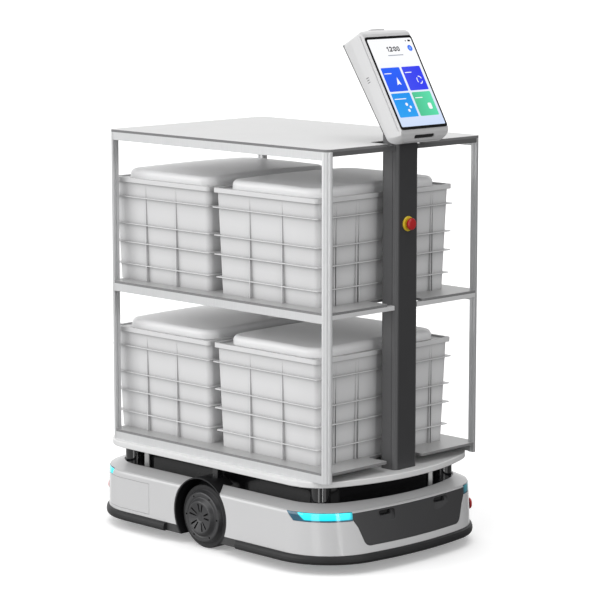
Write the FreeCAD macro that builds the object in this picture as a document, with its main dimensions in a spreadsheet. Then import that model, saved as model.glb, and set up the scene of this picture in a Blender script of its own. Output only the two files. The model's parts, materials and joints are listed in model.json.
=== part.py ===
import FreeCAD, Part
import math
import os

# Autonomous mobile robot: a low drive base with a bowed plan outline, a raised
# deck plate, a three-plate rack on quarter-round posts, a front column with a
# tilted touch-screen head, and four lidded crates on the rack.
# Millimetres.  +X is the robot's left-hand side seen from the front, -Y is the
# front (the side the screen faces), +Z is up and Z = 0 is the floor.

V = FreeCAD.Vector
doc = FreeCAD.newDocument("amr")
sheet = doc.addObject("Spreadsheet::Sheet", "Dims")

DIMS = [
    # drive base outline
    ("base_halfw", 329.0, "half width of the shell at the side"),
    ("low_halfl", 505.0, "half length of the shell at its lower edge"),
    ("low_bow", 1100.0, "bow radius of the ends, lower edge"),
    ("low_corner", 167.0, "corner radius, lower edge"),
    ("top_halfl", 490.0, "half length of the shell at the crease"),
    ("top_bow", 1400.0, "bow radius of the ends, crease"),
    ("top_corner", 155.0, "corner radius, crease"),
    ("shell_low", 52.0, "height of the shell's lower edge"),
    ("crease_low", 160.0, "height where the side starts to roll over"),
    ("crease_top", 170.0, "height where the rim starts"),
    ("rim_top", 184.5, "height of the rim's inner edge"),
    ("rear_halfl", 503.0, "half length of the rear crease"),
    ("rim_halfw", 292.5, "half width of the rim's inner edge"),
    ("rim_halfl", 464.5, "half length of the rim's inner edge"),
    ("rim_bow", 640.0, "bow radius of the rim's inner edge"),
    ("rim_corner", 122.0, "corner radius of the rim's inner edge"),
    ("shell_wall", 4.0, "shell wall"),
    ("cover_top", 181.0, "top of the recessed cover"),
    ("cover_thick", 3.0, "recessed cover thickness"),
    ("skirt_low", 29.0, "bottom of the skirt and bumper"),
    ("bumper_out", 12.0, "how far the bumper stands out"),
    ("bumper_halfl_add", 13.0, "bumper reach past the shell at the ends"),
    # deck
    ("deck_low", 232.0, "underside of the deck plate"),
    ("deck_thick", 16.5, "deck plate thickness"),
    ("deck_halfw", 320.0, "half width of the deck plate"),
    ("deck_halfl", 492.0, "half length of the deck plate"),
    ("deck_bow", 647.0, "bow radius of the deck ends"),
    ("deck_corner", 116.0, "corner radius of the deck"),
    ("pillar_rad", 27.0, "deck pillar radius"),
    ("pillar_px", 241.0, "deck pillar X"),
    ("pillar_py", 372.0, "deck pillar Y"),
    ("mid_px", 274.0, "middle support X"),
    ("mid_py", -8.0, "middle support Y"),
    ("tube_low", 130.0, "underside of the frame tubes"),
    ("tube_size", 30.0, "frame tube section"),
    # drive wheels
    ("wheel_rad", 88.5, "drive wheel radius"),
    ("wheel_y", 6.0, "drive wheel axis Y"),
    ("tyre_face", 310.0, "outer face of the tyre"),
    ("tyre_width", 46.0, "tyre width"),
    ("arch_rad", 105.0, "wheel arch radius"),
    ("arch_z", 94.5, "wheel arch centre height"),
    ("axle_rad", 10.0, "drive axle radius"),
    ("axle_bore", 10.05, "gearbox bore radius"),
    # casters
    ("caster_px", 190.0, "caster swivel X"),
    ("caster_py", 350.0, "caster swivel Y"),
    ("caster_rad", 45.0, "caster wheel radius"),
    ("caster_trail", 32.0, "caster trail"),
    # rack
    ("rack_y", -24.0, "centre of the rack in Y"),
    ("rack_width", 600.0, "rack width"),
    ("rack_length", 859.0, "rack length"),
    ("post_rad", 20.0, "quarter-round post radius"),
    ("rail_high", 22.0, "side rail height"),
    ("rail_deep", 15.0, "side rail depth"),
    ("cross_high", 12.0, "cross rail height"),
    ("plate_thick", 6.8, "shelf plate thickness"),
    ("mid_level", 696.1, "underside of the middle plate"),
    ("top_level", 1122.2, "underside of the top plate"),
    ("notch_halfw", 68.0, "half width of the column notch"),
    ("notch_deep", 72.0, "depth of the column notch"),
    # column
    ("col_width", 88.0, "column width"),
    ("col_depth", 58.0, "column depth"),
    ("col_front", -458.7, "front face of the column"),
    ("col_corner", 13.0, "column corner radius"),
    ("col_wall", 3.0, "column wall"),
    ("estop_z", 913.0, "height of the column stop button"),
    ("estop_ring", 20.0, "yellow collar radius"),
    ("estop_cap", 16.0, "mushroom radius"),
    # head
    ("head_tilt", 30.2, "lean of the screen from upright, degrees"),
    ("head_y", -517.4, "lower edge of the screen glass, Y"),
    ("head_z", 1172.2, "lower edge of the screen glass, Z"),
    ("screen_halfw", 87.3, "half width of the screen glass"),
    ("screen_long", 268.9, "length of the screen glass"),
    ("head_halfw", 95.0, "half width of the head"),
    # crates
    ("crate_halfx", 247.1, "crate base half size across"),
    ("crate_halfy", 185.4, "crate base half size along"),
    ("crate_topx", 257.6, "crate top half size across"),
    ("crate_topy", 193.8, "crate top half size along"),
    ("crate_rimx", 265.0, "crate rim half size across"),
    ("crate_rimy", 199.4, "crate rim half size along"),
    ("crate_high", 289.8, "crate height to the rim"),
    ("crate_wall", 3.0, "crate wall"),
    ("crate_front_y", -181.2, "front crate centre Y"),
    ("crate_rear_y", 236.8, "rear crate centre Y"),
    ("lid_halfx", 239.0, "lid half size across"),
    ("lid_halfy", 173.5, "lid half size along"),
    ("lid_low", 285.6, "underside of the lid above the crate's base"),
    ("lid_rise", 30.0, "lid thickness at its crown"),
]
for row, (alias, value, note) in enumerate(DIMS, 1):
    sheet.set("A%d" % row, note)
    sheet.set("B%d" % row, repr(value))
    sheet.setAlias("B%d" % row, alias)
doc.recompute()


def g(alias):
    return float(sheet.get(alias))


NODES = []


def node(obj, label):
    obj.Label = label
    NODES.append((label, obj))
    return obj


def bind(obj, prop, value):
    if isinstance(value, str):
        obj.setExpression(prop, value)
    else:
        target = obj
        parts = prop.split(".")
        if len(parts) == 1:
            setattr(target, prop, value)
        else:
            pl = obj.Placement
            base = V(pl.Base)
            setattr(base, parts[-1], value)
            obj.Placement = FreeCAD.Placement(base, pl.Rotation)


# ---------------------------------------------------------------- primitives
def box(name, lx, ly, lz, x, y, z):
    o = doc.addObject("Part::Box", name)
    bind(o, "Length", lx)
    bind(o, "Width", ly)
    bind(o, "Height", lz)
    bind(o, "Placement.Base.x", x)
    bind(o, "Placement.Base.y", y)
    bind(o, "Placement.Base.z", z)
    return o


def cyl(name, rad, high, x, y, z, rot=None):
    o = doc.addObject("Part::Cylinder", name)
    bind(o, "Radius", rad)
    bind(o, "Height", high)
    if rot is not None:
        o.Placement = FreeCAD.Placement(V(0, 0, 0), rot)
    bind(o, "Placement.Base.x", x)
    bind(o, "Placement.Base.y", y)
    bind(o, "Placement.Base.z", z)
    return o


def fuse(name, items):
    o = doc.addObject("Part::MultiFuse", name)
    o.Shapes = items
    o.Refine = True
    return o


def cut(name, base, tool):
    o = doc.addObject("Part::Cut", name)
    o.Base = base
    o.Tool = tool
    o.Refine = True
    return o


def group(name, items):
    o = doc.addObject("Part::Compound", name)
    o.Links = items
    return o


def mirror(name, src, normal):
    o = doc.addObject("Part::Mirroring", name)
    o.Source = src
    o.Normal = normal
    return o


def copy(name, src, dx, dy, dz):
    o = doc.addObject("Part::Compound", name)
    o.Links = [src]
    bind(o, "Placement.Base.x", dx)
    bind(o, "Placement.Base.y", dy)
    bind(o, "Placement.Base.z", dz)
    return o


def feature(name, shape):
    o = doc.addObject("Part::Feature", name)
    o.Shape = shape
    return o


# ---------------------------------------------------------- PartDesign helpers
def body(name):
    b = doc.addObject("PartDesign::Body", name)
    return b


def plane(b, role):
    for f in b.Origin.OriginFeatures:
        if f.Role == role:
            return f
    raise RuntimeError(role)


def sketch(b, role, offset=0.0):
    s = b.newObject("Sketcher::SketchObject", b.Name + "_sketch")
    s.AttachmentSupport = [(plane(b, role), "")]
    s.MapMode = "FlatFace"
    s.AttachmentOffset = FreeCAD.Placement(V(0, 0, offset), FreeCAD.Rotation())
    return s


def rect(s, x0, y0, x1, y1, wexp=None, hexp=None):
    """Rectangle held by constraints; its width and height may be bound."""
    pts = [(x0, y0), (x1, y0), (x1, y1), (x0, y1)]
    first = len(s.Geometry)
    for i in range(4):
        a, c = pts[i], pts[(i + 1) % 4]
        s.addGeometry(Part.LineSegment(V(a[0], a[1], 0), V(c[0], c[1], 0)), False)
    import Sketcher
    k = Sketcher.Constraint
    for i in range(4):
        s.addConstraint(k("Coincident", first + i, 2, first + (i + 1) % 4, 1))
    s.addConstraint(k("Horizontal", first))
    s.addConstraint(k("Horizontal", first + 2))
    s.addConstraint(k("Vertical", first + 1))
    s.addConstraint(k("Vertical", first + 3))
    cw = s.addConstraint(k("DistanceX", first, 1, first, 2, x1 - x0))
    ch = s.addConstraint(k("DistanceY", first + 1, 1, first + 1, 2, y1 - y0))
    if abs(x0 + x1) < 1e-6 and abs(y0 + y1) < 1e-6:
        s.addConstraint(k("Symmetric", first, 1, first + 2, 1, -1, 1))
    else:
        s.addConstraint(k("DistanceX", -1, 1, first, 1, x0))
        s.addConstraint(k("DistanceY", -1, 1, first, 1, y0))
    if wexp:
        s.setExpression("Constraints[%d]" % cw, wexp)
    if hexp:
        s.setExpression("Constraints[%d]" % ch, hexp)
    return first


def circle(s, x, y, r, rexp=None):
    import Sketcher
    k = Sketcher.Constraint
    i = s.addGeometry(Part.Circle(V(x, y, 0), V(0, 0, 1), r), False)
    if abs(x) < 1e-9 and abs(y) < 1e-9:
        s.addConstraint(k("Coincident", i, 3, -1, 1))
    elif abs(y) < 1e-9:
        s.addConstraint(k("DistanceX", -1, 1, i, 3, x))
        s.addConstraint(k("PointOnObject", i, 3, -1))
    elif abs(x) < 1e-9:
        s.addConstraint(k("DistanceY", -1, 1, i, 3, y))
        s.addConstraint(k("PointOnObject", i, 3, -2))
    else:
        s.addConstraint(k("DistanceX", -1, 1, i, 3, x))
        s.addConstraint(k("DistanceY", -1, 1, i, 3, y))
    cr = s.addConstraint(k("Radius", i, r))
    if rexp:
        s.setExpression("Constraints[%d]" % cr, rexp)
    return i


def polygon(s, pts):
    import Sketcher
    k = Sketcher.Constraint
    first = len(s.Geometry)
    n = len(pts)
    for i in range(n):
        a, c = pts[i], pts[(i + 1) % n]
        s.addGeometry(Part.LineSegment(V(a[0], a[1], 0), V(c[0], c[1], 0)), False)
    for i in range(n):
        s.addConstraint(k("Coincident", first + i, 2, first + (i + 1) % n, 1))
    for i in range(n):
        s.addConstraint(k("Block", first + i))
    return first


def chain(s, geos):
    """Closed chain of lines and arcs, held in place as drawn."""
    import Sketcher
    k = Sketcher.Constraint
    first = len(s.Geometry)
    for geo in geos:
        s.addGeometry(geo, False)
    for i in range(len(geos)):
        s.addConstraint(k("Block", first + i))
    return first


def pad(b, s, length, midplane=False, reverse=False):
    p = b.newObject("PartDesign::Pad", b.Name + "_pad")
    p.Profile = s
    if midplane:
        p.SideType = "Symmetric" if hasattr(p, "SideType") else None
        if not hasattr(p, "SideType"):
            p.Midplane = True
    p.Reversed = reverse
    bind(p, "Length", length)
    b.Tip = p
    doc.recompute()
    return p


def pocket(b, s, length=None, through=False, reverse=False, midplane=False):
    before = b.Shape.Volume
    p = b.newObject("PartDesign::Pocket", b.Name + "_pocket")
    p.Profile = s
    if through:
        p.Type = "ThroughAll"
    else:
        bind(p, "Length", length)
    if midplane:
        if hasattr(p, "SideType"):
            p.SideType = "Symmetric"
        else:
            p.Midplane = True
    p.Reversed = reverse
    b.Tip = p
    doc.recompute()
    if not b.Shape.Volume < before - 1e-3:
        p.Reversed = not reverse
        doc.recompute()
    if not b.Shape.Volume < before - 1e-3:
        raise RuntimeError("pocket cuts nothing in " + b.Name)
    return p


def revolve(b, s, axis, angle=360.0):
    r = b.newObject("PartDesign::Revolution", b.Name + "_rev")
    r.Profile = s
    r.ReferenceAxis = (s, [axis])
    r.Angle = angle
    b.Tip = r
    doc.recompute()
    return r


def edge_names(shape, test):
    out = []
    for i, e in enumerate(shape.Edges, 1):
        if test(e):
            out.append("Edge%d" % i)
    return out


def fillet(b, base, names, radius):
    f = b.newObject("PartDesign::Fillet", b.Name + "_fillet")
    f.Base = (base, names)
    bind(f, "Radius", radius)
    b.Tip = f
    doc.recompute()
    return f


def chamfer(b, base, names, size):
    f = b.newObject("PartDesign::Chamfer", b.Name + "_chamfer")
    f.Base = (base, names)
    f.Size = size
    b.Tip = f
    doc.recompute()
    return f


def upright(e, tol=1e-4):
    if not isinstance(e.Curve, Part.Line):
        return False
    d = e.tangentAt(e.FirstParameter)
    return abs(abs(d.z) - 1) < tol


def level_at(e, z, tol=1e-3):
    return all(abs(v.Point.z - z) < tol for v in e.Vertexes)


# ------------------------------------------------------- bowed plan outlines
def bowed(halfw, halfl, bow, corner, z, inset=0.0, yc=0.0):
    """Wire: straight sides, arcs of radius bow across the ends, round corners.
    Every radius shrinks by inset, so an inset outline stays parallel."""
    w = halfw - inset
    l = halfl - inset
    rb = bow - inset
    rc = corner - inset
    xc = w - rc
    yq = l - rb + math.sqrt((rb - rc) ** 2 - xc ** 2)
    # tangent point between a corner arc and the end arc
    dx, dy = xc, yq - (l - rb)
    n = math.hypot(dx, dy)
    ux, uy = dx / n, dy / n
    tx, ty = xc + rc * ux, yq + rc * uy
    am = 0.5 * math.atan2(uy, ux)
    mx, my = xc + rc * math.cos(am), yq + rc * math.sin(am)

    def p(x, y):
        return V(x, y + yc, z)

    edges = [
        Part.LineSegment(p(w, -yq), p(w, yq)).toShape(),
        Part.Arc(p(w, yq), p(mx, my), p(tx, ty)).toShape(),
        Part.Arc(p(tx, ty), p(0, l), p(-tx, ty)).toShape(),
        Part.Arc(p(-tx, ty), p(-mx, my), p(-w, yq)).toShape(),
        Part.LineSegment(p(-w, yq), p(-w, -yq)).toShape(),
        Part.Arc(p(-w, -yq), p(-mx, -my), p(-tx, -ty)).toShape(),
        Part.Arc(p(-tx, -ty), p(0, -l), p(tx, -ty)).toShape(),
        Part.Arc(p(tx, -ty), p(mx, -my), p(w, -yq)).toShape(),
    ]
    return Part.Wire(edges)


def prism(wire, z0, z1):
    face = Part.Face(wire)
    face.translate(V(0, 0, z0 - wire.BoundBox.ZMin))
    return face.extrude(V(0, 0, z1 - z0))


def low_wire(z, inset=0.0, add=0.0):
    return bowed(g("base_halfw"), g("low_halfl") + add, g("low_bow"), g("low_corner"), z, inset)


def crease_wire(z, inset=0.0):
    return bowed(g("base_halfw"), g("top_halfl"), g("top_bow"), g("top_corner"), z, inset)


def rim_wire(z, inset=0.0):
    return bowed(g("rim_halfw"), g("rim_halfl"), g("rim_bow"), g("rim_corner"), z, inset)


def side_cylinder(rad, x0, x1):
    c = Part.makeCylinder(rad, x1 - x0, V(x0, g("wheel_y"), g("arch_z")), V(1, 0, 0))
    return c


# -------------------------------------------------------------- shell walls
wall = g("shell_wall")


def rear_crease(z, inset=0.0):
    return bowed(g("base_halfw"), g("rear_halfl"), g("low_bow"), g("low_corner"), z, inset)


def shell_solid(upper):
    """Outer skin minus inner skin; upper gives the crease outline."""
    outer = Part.makeLoft([
        low_wire(g("shell_low")),
        upper(g("crease_low")),
        upper(165.0, 1.2),
        upper(168.4, 3.6),
        upper(g("crease_top"), 7.6),
        rim_wire(g("rim_top")),
    ], True, True)
    inner = Part.makeLoft([
        low_wire(g("shell_low") - 1.0, wall),
        upper(g("crease_low"), wall),
        upper(164.0, wall + 3.2),
        upper(g("crease_top") - 4.0, wall + 8.6),
        rim_wire(g("rim_top") - 4.2, -1.0),
    ], True, True)
    mouth = prism(rim_wire(0.0), 120.0, 200.0)
    skin = outer.cut(inner).cut(mouth)
    for q in arches:
        skin = skin.cut(q)
    return skin


arches = [side_cylinder(g("arch_rad") + 1.0, -345.0, -255.0),
          side_cylinder(g("arch_rad") + 1.0, 255.0, 345.0)]
big = Part.makeBox(800, 800, 400, V(-400, -794, 0))
rear_big = Part.makeBox(800, 800, 400, V(-400, 6, 0))
front_raw = shell_solid(crease_wire).common(big)
rear_raw = shell_solid(rear_crease).common(rear_big)

def poly_prism_y(points, y0, y1):
    """Prism along Y over a polygon given in X, Z."""
    pts = [V(x, y0, z) for x, z in points]
    face = Part.Face(Part.makePolygon(pts + [pts[0]]))
    return face.extrude(V(0, y1 - y0, 0))


def rounded_poly_prism_y(points, y0, y1, radius):
    pr = poly_prism_y(points, y0, y1)
    es = [e for e in pr.Edges if isinstance(e.Curve, Part.Line)
          and abs(abs(e.tangentAt(e.FirstParameter).y) - 1) < 1e-6]
    return pr.makeFillet(radius, es)


# front panel: a trapezoid with rounded lower corners
def panel_points(grow):
    return [(-219.5 - grow, 162 + grow), (-219.5 - grow, 146 - grow), (-205 - grow, 124 - grow),
            (-183 - grow, 71.5 - grow), (183 + grow, 71.5 - grow), (205 + grow, 124 - grow),
            (219.5 + grow, 146 - grow), (219.5 + grow, 162 + grow)]


def panel_prism(grow):
    pr = poly_prism_y(panel_points(grow), -530.0, -360.0)
    es = []
    for e in pr.Edges:
        if isinstance(e.Curve, Part.Line) and abs(abs(e.tangentAt(e.FirstParameter).y) - 1) < 1e-6:
            if e.Vertexes[0].Z < 90:
                es.append(e)
    return pr.makeFillet(24.0, es)


panel_zone = panel_prism(0.0)
panel_hole = panel_prism(0.9)


# light lenses: a band below the crease wrapping each corner
def lens_prism(sx, sy, grow, front):
    if front:
        zlo, zhi, ystart, xend, lean = 143.0, 166.5, 355.0, 220.4, 24.0
    else:
        zlo, zhi, ystart, xend, lean = 150.0, 167.5, 384.0, 225.0, 12.0
    lo, hi = zlo - grow, zhi + grow
    reg = Part.makeBox(200, 300, hi - lo, V(xend - grow, ystart - grow, lo))
    # the starting end on the side leans forward going up
    tri = [V(300, ystart - grow + 0.01, lo), V(300, ystart - grow - lean, hi), V(300, ystart - grow + 0.01, hi)]
    add = Part.Face(Part.makePolygon(tri + [tri[0]])).extrude(V(60, 0, 0))
    reg = reg.fuse(add).removeSplitter()
    return scaled(reg, sx, sy)


def scaled(shape, sx, sy):
    out = shape
    if sx < 0:
        out = out.mirror(V(0, 0, 0), V(1, 0, 0))
    if sy < 0:
        out = out.mirror(V(0, 0, 0), V(0, 1, 0))
    return out


lens_solids = []
front_cut = front_raw.cut(panel_hole)
rear_cut = rear_raw
for sx in (-1, 1):
    z0 = lens_prism(sx, -1, 0.0, True)
    z1 = lens_prism(sx, -1, 0.7, True)
    lens_solids.append(front_raw.common(z0))
    front_cut = front_cut.cut(z1)
    z0 = lens_prism(sx, 1, 0.0, False)
    z1 = lens_prism(sx, 1, 0.7, False)
    lens_solids.append(rear_raw.common(z0))
    rear_cut = rear_cut.cut(z1)

# rear service panel: wraps the rear end below the lights
rp_y, rp_lo, rp_hi = 216.0, 62.0, 148.0
rp_zone = Part.makeBox(800, 500, rp_hi - rp_lo, V(-400, rp_y, rp_lo))
rp_hole = Part.makeBox(800, 500, rp_hi - rp_lo + 1.4, V(-400, rp_y - 0.7, rp_lo - 0.7))
rear_panel_shape = rear_raw.common(rp_zone)
rear_cut = rear_cut.cut(rp_hole)
# ledge behind the seam, which the panel's edge screws to
ledge_out = Part.makeLoft([low_wire(g("shell_low"), wall + 0.2), rear_crease(g("crease_low"), wall + 0.2)], True, True)
ledge_in = Part.makeLoft([low_wire(g("shell_low") - 0.5, wall + 3.0), rear_crease(g("crease_low") + 0.5, wall + 3.0)], True, True)
ledge = ledge_out.cut(ledge_in)
frame_zone = Part.makeBox(800, 500, rp_hi - rp_lo + 16, V(-400, rp_y - 8, rp_lo - 8)).cut(
    Part.makeBox(800, 600, rp_hi - rp_lo - 16, V(-400, rp_y + 8, rp_lo + 8)))
rear_cut = rear_cut.fuse(ledge.common(frame_zone)).removeSplitter()

# stop buttons on the base: one on the front corner of the +X side, one on the
# rear corner of the -X side
corner_x = g("base_halfw") - 136.0


def button_frame(cx, cy, rad, ang, zz=90.0):
    """Centre on the shell and outward direction for a button at plan angle."""
    d = V(math.cos(math.radians(ang)), math.sin(math.radians(ang)), 0)
    return V(cx, cy, zz) + d * rad, d


def corner_centre(halfl, bow, corner):
    xc = g("base_halfw") - corner
    yq = halfl - bow + math.sqrt((bow - corner) ** 2 - xc ** 2)
    return xc, yq


tt = (90.0 - g("shell_low")) / (g("crease_low") - g("shell_low"))


def corner_at(halfl, bow, corner):
    """Corner centre and radius of the outline at the buttons' height."""
    l = g("low_halfl") + (halfl - g("low_halfl")) * tt
    q = g("low_bow") + (bow - g("low_bow")) * tt
    c = g("low_corner") + (corner - g("low_corner")) * tt
    cx, cy = corner_centre(l, q, c)
    return cx, cy, c


fx, fy, fr = corner_at(g("top_halfl"), g("top_bow"), g("top_corner"))
qx, qy, qr = corner_at(g("rear_halfl"), g("low_bow"), g("low_corner"))
BTN = {
    "front": button_frame(fx, -fy, fr, -28.0),
    "rear": button_frame(-qx, qy, qr, 114.0, 92.5),
}
for key in BTN:
    p0, d0 = BTN[key]
    hole = Part.makeCylinder(14.3, 40.0, p0 - d0 * 25, d0)
    if key == "front":
        front_cut = front_cut.cut(hole)
    else:
        rear_panel_shape = rear_panel_shape.cut(hole)

def main_solid(shape):
    sol = sorted(shape.Solids, key=lambda q: -q.Volume)
    return sol[0]


node(feature("front_shell", main_solid(front_cut)), "front_shell")
node(feature("rear_shell", main_solid(rear_cut)), "rear_shell")
node(feature("rear_panel", main_solid(rear_panel_shape)), "rear_panel")

# front panel with two sensor pockets: a scoop that leads up to a slot
panel_shape = front_raw.common(panel_zone)
panel_back = Part.makeLoft([low_wire(g("shell_low"), wall), crease_wire(g("crease_low"), wall)], True, True).cut(
    Part.makeLoft([low_wire(g("shell_low") - 0.5, wall + 14.0), crease_wire(g("crease_low") + 0.5, wall + 14.0)], True, True))
back_pad = []
sensor_solids = []
for sx in (-1, 1):
    cx = 107.0 * sx
    pad_box = Part.makeBox(76, 200, 46, V(cx - 38, -520, 114))
    back_pad.append(panel_back.common(pad_box))
for bp in back_pad:
    panel_shape = panel_shape.fuse(bp)
panel_shape = panel_shape.removeSplitter()
for sx in (-1, 1):
    cx = 107.0 * sx
    # surface position of the panel at the pocket
    yy = -(g("low_halfl") + (g("top_halfl") - g("low_halfl")) * (140.0 - 52.0) / 108.0) + 107.0 ** 2 / (2 * 1345.0)
    scoop = rounded_poly_prism_y([(cx - 31, 127), (cx + 31, 127), (cx + 31, 158), (cx - 31, 158)], yy - 12, yy + 11.0, 10.0)
    # ramp the scoop: deeper towards the top
    ramp = Part.Face(Part.makePolygon([V(cx - 40, yy - 14, 124), V(cx - 40, yy - 1.5, 127), V(cx - 40, yy + 10.5, 159), V(cx - 40, yy - 14, 159), V(cx - 40, yy - 14, 124)]))
    ramp = ramp.extrude(V(80, 0, 0))
    panel_shape = panel_shape.cut(scoop.common(ramp))
    slot = rounded_poly_prism_y([(cx - 22, 143.5), (cx + 22, 143.5), (cx + 22, 155.5), (cx - 22, 155.5)], yy - 14, yy + 30.0, 4.0)
    panel_shape = panel_shape.cut(slot)
    # sensor block seated behind the slot, its window filling the slot's back
    nose = rounded_poly_prism_y([(cx - 21.6, 143.9), (cx + 21.6, 143.9), (cx + 21.6, 155.1), (cx - 21.6, 155.1)], yy + 13.5, yy + 24.0, 3.6)
    blk = Part.makeBox(60, 22, 25, V(cx - 30, yy + 23.0, 134.0))
    sensor_solids.append(nose.fuse(blk).removeSplitter())
node(feature("front_panel", main_solid(panel_shape)), "front_panel")
node(feature("front_sensors", Part.makeCompound(sensor_solids)), "front_sensors")
node(feature("corner_lights", Part.makeCompound([main_solid(q) for q in lens_solids])), "corner_lights")

# ------------------------------------------------------ skirts and bumpers
sk_lo, sk_hi = g("skirt_low"), g("shell_low")
skirt = prism(low_wire(0.0, 1.0), sk_lo, sk_hi).cut(prism(low_wire(0.0, 6.0), sk_lo - 1, sk_hi + 1))
for a in arches:
    skirt = skirt.cut(a)
node(feature("front_skirt", main_solid(skirt.common(big))), "front_skirt")
node(feature("rear_skirt", main_solid(skirt.common(rear_big))), "rear_skirt")

bo = g("bumper_out")
ba = g("bumper_halfl_add") - bo


def bumper_wire(z, out):
    k = (out + 1.0) / (bo + 1.0)
    return bowed(g("base_halfw"), g("low_halfl") + ba * k, g("low_bow"), g("low_corner") + 16.0 * k, z, -out)


bump_out = Part.makeLoft([
    bumper_wire(sk_lo, bo - 4.0), bumper_wire(sk_lo + 3.0, bo - 1.2), bumper_wire(sk_lo + 8.0, bo),
    bumper_wire(sk_lo + 14.0, bo - 0.6), bumper_wire(sk_lo + 20.0, bo - 3.6), bumper_wire(sk_lo + 22.7, bo - 8.5),
], True, True)
bump = bump_out.cut(prism(low_wire(0.0, 1.0), sk_lo - 1, sk_hi + 2))
f_box = Part.makeBox(800, 516, 100, V(-400, -660, 0))
r_box = Part.makeBox(800, 500, 100, V(-400, 143, 0))
node(feature("front_bumper", main_solid(bump.common(f_box))), "front_bumper")
node(feature("rear_bumper", main_solid(bump.common(r_box))), "rear_bumper")

# -------------------------------------------------------------- arch liners
ar = g("arch_rad")
lin = side_cylinder(ar, -327.5, -258.0).cut(side_cylinder(ar - 3.5, -330.0, -261.0))
lin = lin.cut(Part.makeCylinder(46.0, 140.0, V(-340.0, g("wheel_y"), g("wheel_rad")), V(1, 0, 0)))
lin = lin.common(Part.makeBox(200, 400, 300, V(-400, -200, sk_lo)))
node(feature("arch_liner_left", main_solid(lin)), "arch_liner_left")
node(mirror("arch_liner_right", doc.getObject("arch_liner_left"), V(1, 0, 0)), "arch_liner_right")

# ------------------------------------------------------------ recess cover
ct, cth = g("cover_top"), g("cover_thick")
cover = prism(rim_wire(0.0, 0.4), ct - cth, ct)
for sgn in (-1, 1):
    x0 = -345.0 if sgn < 0 else 200.0
    cover = cover.cut(side_cylinder(ar + 0.5, -345.0 if sgn < 0 else 257.5, -257.5 if sgn < 0 else 345.0))
for sx in (-1, 1):
    for sy in (-1, 1):
        cover = cover.cut(Part.makeCylinder(g("pillar_rad") + 0.4, 20, V(sx * g("pillar_px"), sy * g("pillar_py"), ct - 10)))
node(feature("recess_cover", main_solid(cover)), "recess_cover")

# ---------------------------------------------------------------- the frame
tl, ts = "Dims.tube_low", "Dims.tube_size"
frame_parts = []
for sx in (-1, 1):
    frame_parts.append(box("long_tube", ts, 860, ts, "%d * Dims.caster_px - Dims.tube_size / 2" % sx, -430, tl))
for i, yy in enumerate((-377, -125, 125, 377)):
    frame_parts.append(box("cross_tube", 512, ts, ts, -256, "%d - Dims.tube_size / 2" % yy, tl))
for sx in (-1, 1):
    for sy in (-1, 1):
        frame_parts.append(box("leg", 24, 24, 94, sx * 150 - 12, sy * 240 - 12, 36))
        frame_parts.append(box("leg_arm", 30, 30, 30, sx * 165 - 15, sy * 240 - 15, tl))
    frame_parts.append(box("mid_bracket", 60, 24, ts, -258 if sx < 0 else 198, "Dims.mid_py - 12", tl))
pan_wire = low_wire(0.0, 8.0)
pan = prism(pan_wire, 33.0, 36.0)
for sx in (-1, 1):
    pan = pan.cut(Part.makeBox(96, 230, 20, V(-350 if sx < 0 else 254, g("wheel_y") - 115, 25)))
    for sy in (-1, 1):
        pan = pan.cut(Part.makeCylinder(85.0, 20, V(sx * g("caster_px"), sy * g("caster_py"), 25)))
pan_f = feature("pan", pan)
frame_parts.append(pan_f)
node(fuse("chassis_frame", frame_parts), "chassis_frame")

# ------------------------------------------------------------- deck supports
supports = []
for sx in (-1, 1):
    for sy in (-1, 1):
        supports.append(cyl("pillar", "Dims.pillar_rad", "Dims.deck_low - Dims.tube_low - Dims.tube_size",
                            "%d * Dims.pillar_px" % sx, "%d * Dims.pillar_py" % sy, "Dims.tube_low + Dims.tube_size"))
    post = box("mid_post", 20, 20, "Dims.deck_low - Dims.tube_low - Dims.tube_size",
               "%d * Dims.mid_px - 10" % sx, "Dims.mid_py - 10", "Dims.tube_low + Dims.tube_size")
    under = cyl("mid_under", "Dims.arch_rad", 60, "%d * Dims.mid_px - 30" % sx, "Dims.wheel_y", "Dims.arch_z",
                FreeCAD.Rotation(V(0, 1, 0), 90))
    supports.append(cut("mid_support", post, under))
node(group("deck_pillars", supports), "deck_pillars")

# ------------------------------------------------------------- deck plate
def wire_geos(wire):
    out = []
    for e in wire.Edges:
        a = e.valueAt(e.FirstParameter)
        c = e.valueAt(e.LastParameter)
        if isinstance(e.Curve, Part.Line):
            out.append(Part.LineSegment(V(a.x, a.y, 0), V(c.x, c.y, 0)))
        else:
            m = e.valueAt((e.FirstParameter + e.LastParameter) / 2)
            out.append(Part.Arc(V(a.x, a.y, 0), V(m.x, m.y, 0), V(c.x, c.y, 0)))
    return out


b = body("deck_plate")
s = sketch(b, "XY_Plane")
chain(s, wire_geos(bowed(g("deck_halfw"), g("deck_halfl"), g("deck_bow"), g("deck_corner"), 0.0)))
p = pad(b, s, "Dims.deck_thick")
fillet(b, p, edge_names(p.Shape, lambda e: level_at(e, 0.0) or level_at(e, g("deck_thick"))), 3.0)
bind(b, "Placement.Base.z", "Dims.deck_low")
node(b, "deck_plate")

# --------------------------------------------------------- inside the base
b = body("battery_pack")
s = sketch(b, "XY_Plane")
rect(s, -125, -150, 125, 150)
p = pad(b, s, 88)
fillet(b, p, edge_names(p.Shape, upright), 8.0)
b.Placement = FreeCAD.Placement(V(0, 0, 36), FreeCAD.Rotation())
node(b, "battery_pack")

b = body("control_box")
s = sketch(b, "XY_Plane")
rect(s, -110, -90, 110, 90)
p = pad(b, s, 44)
f = fillet(b, p, edge_names(p.Shape, upright), 5.0)
s2 = sketch(b, "XY_Plane", 44)
for i in range(7):
    rect(s2, -80 + i * 24, -60, -80 + i * 24 + 12, 60)
pocket(b, s2, 6)
b.Placement = FreeCAD.Placement(V(0, 0, 124), FreeCAD.Rotation())
node(b, "control_box")

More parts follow.
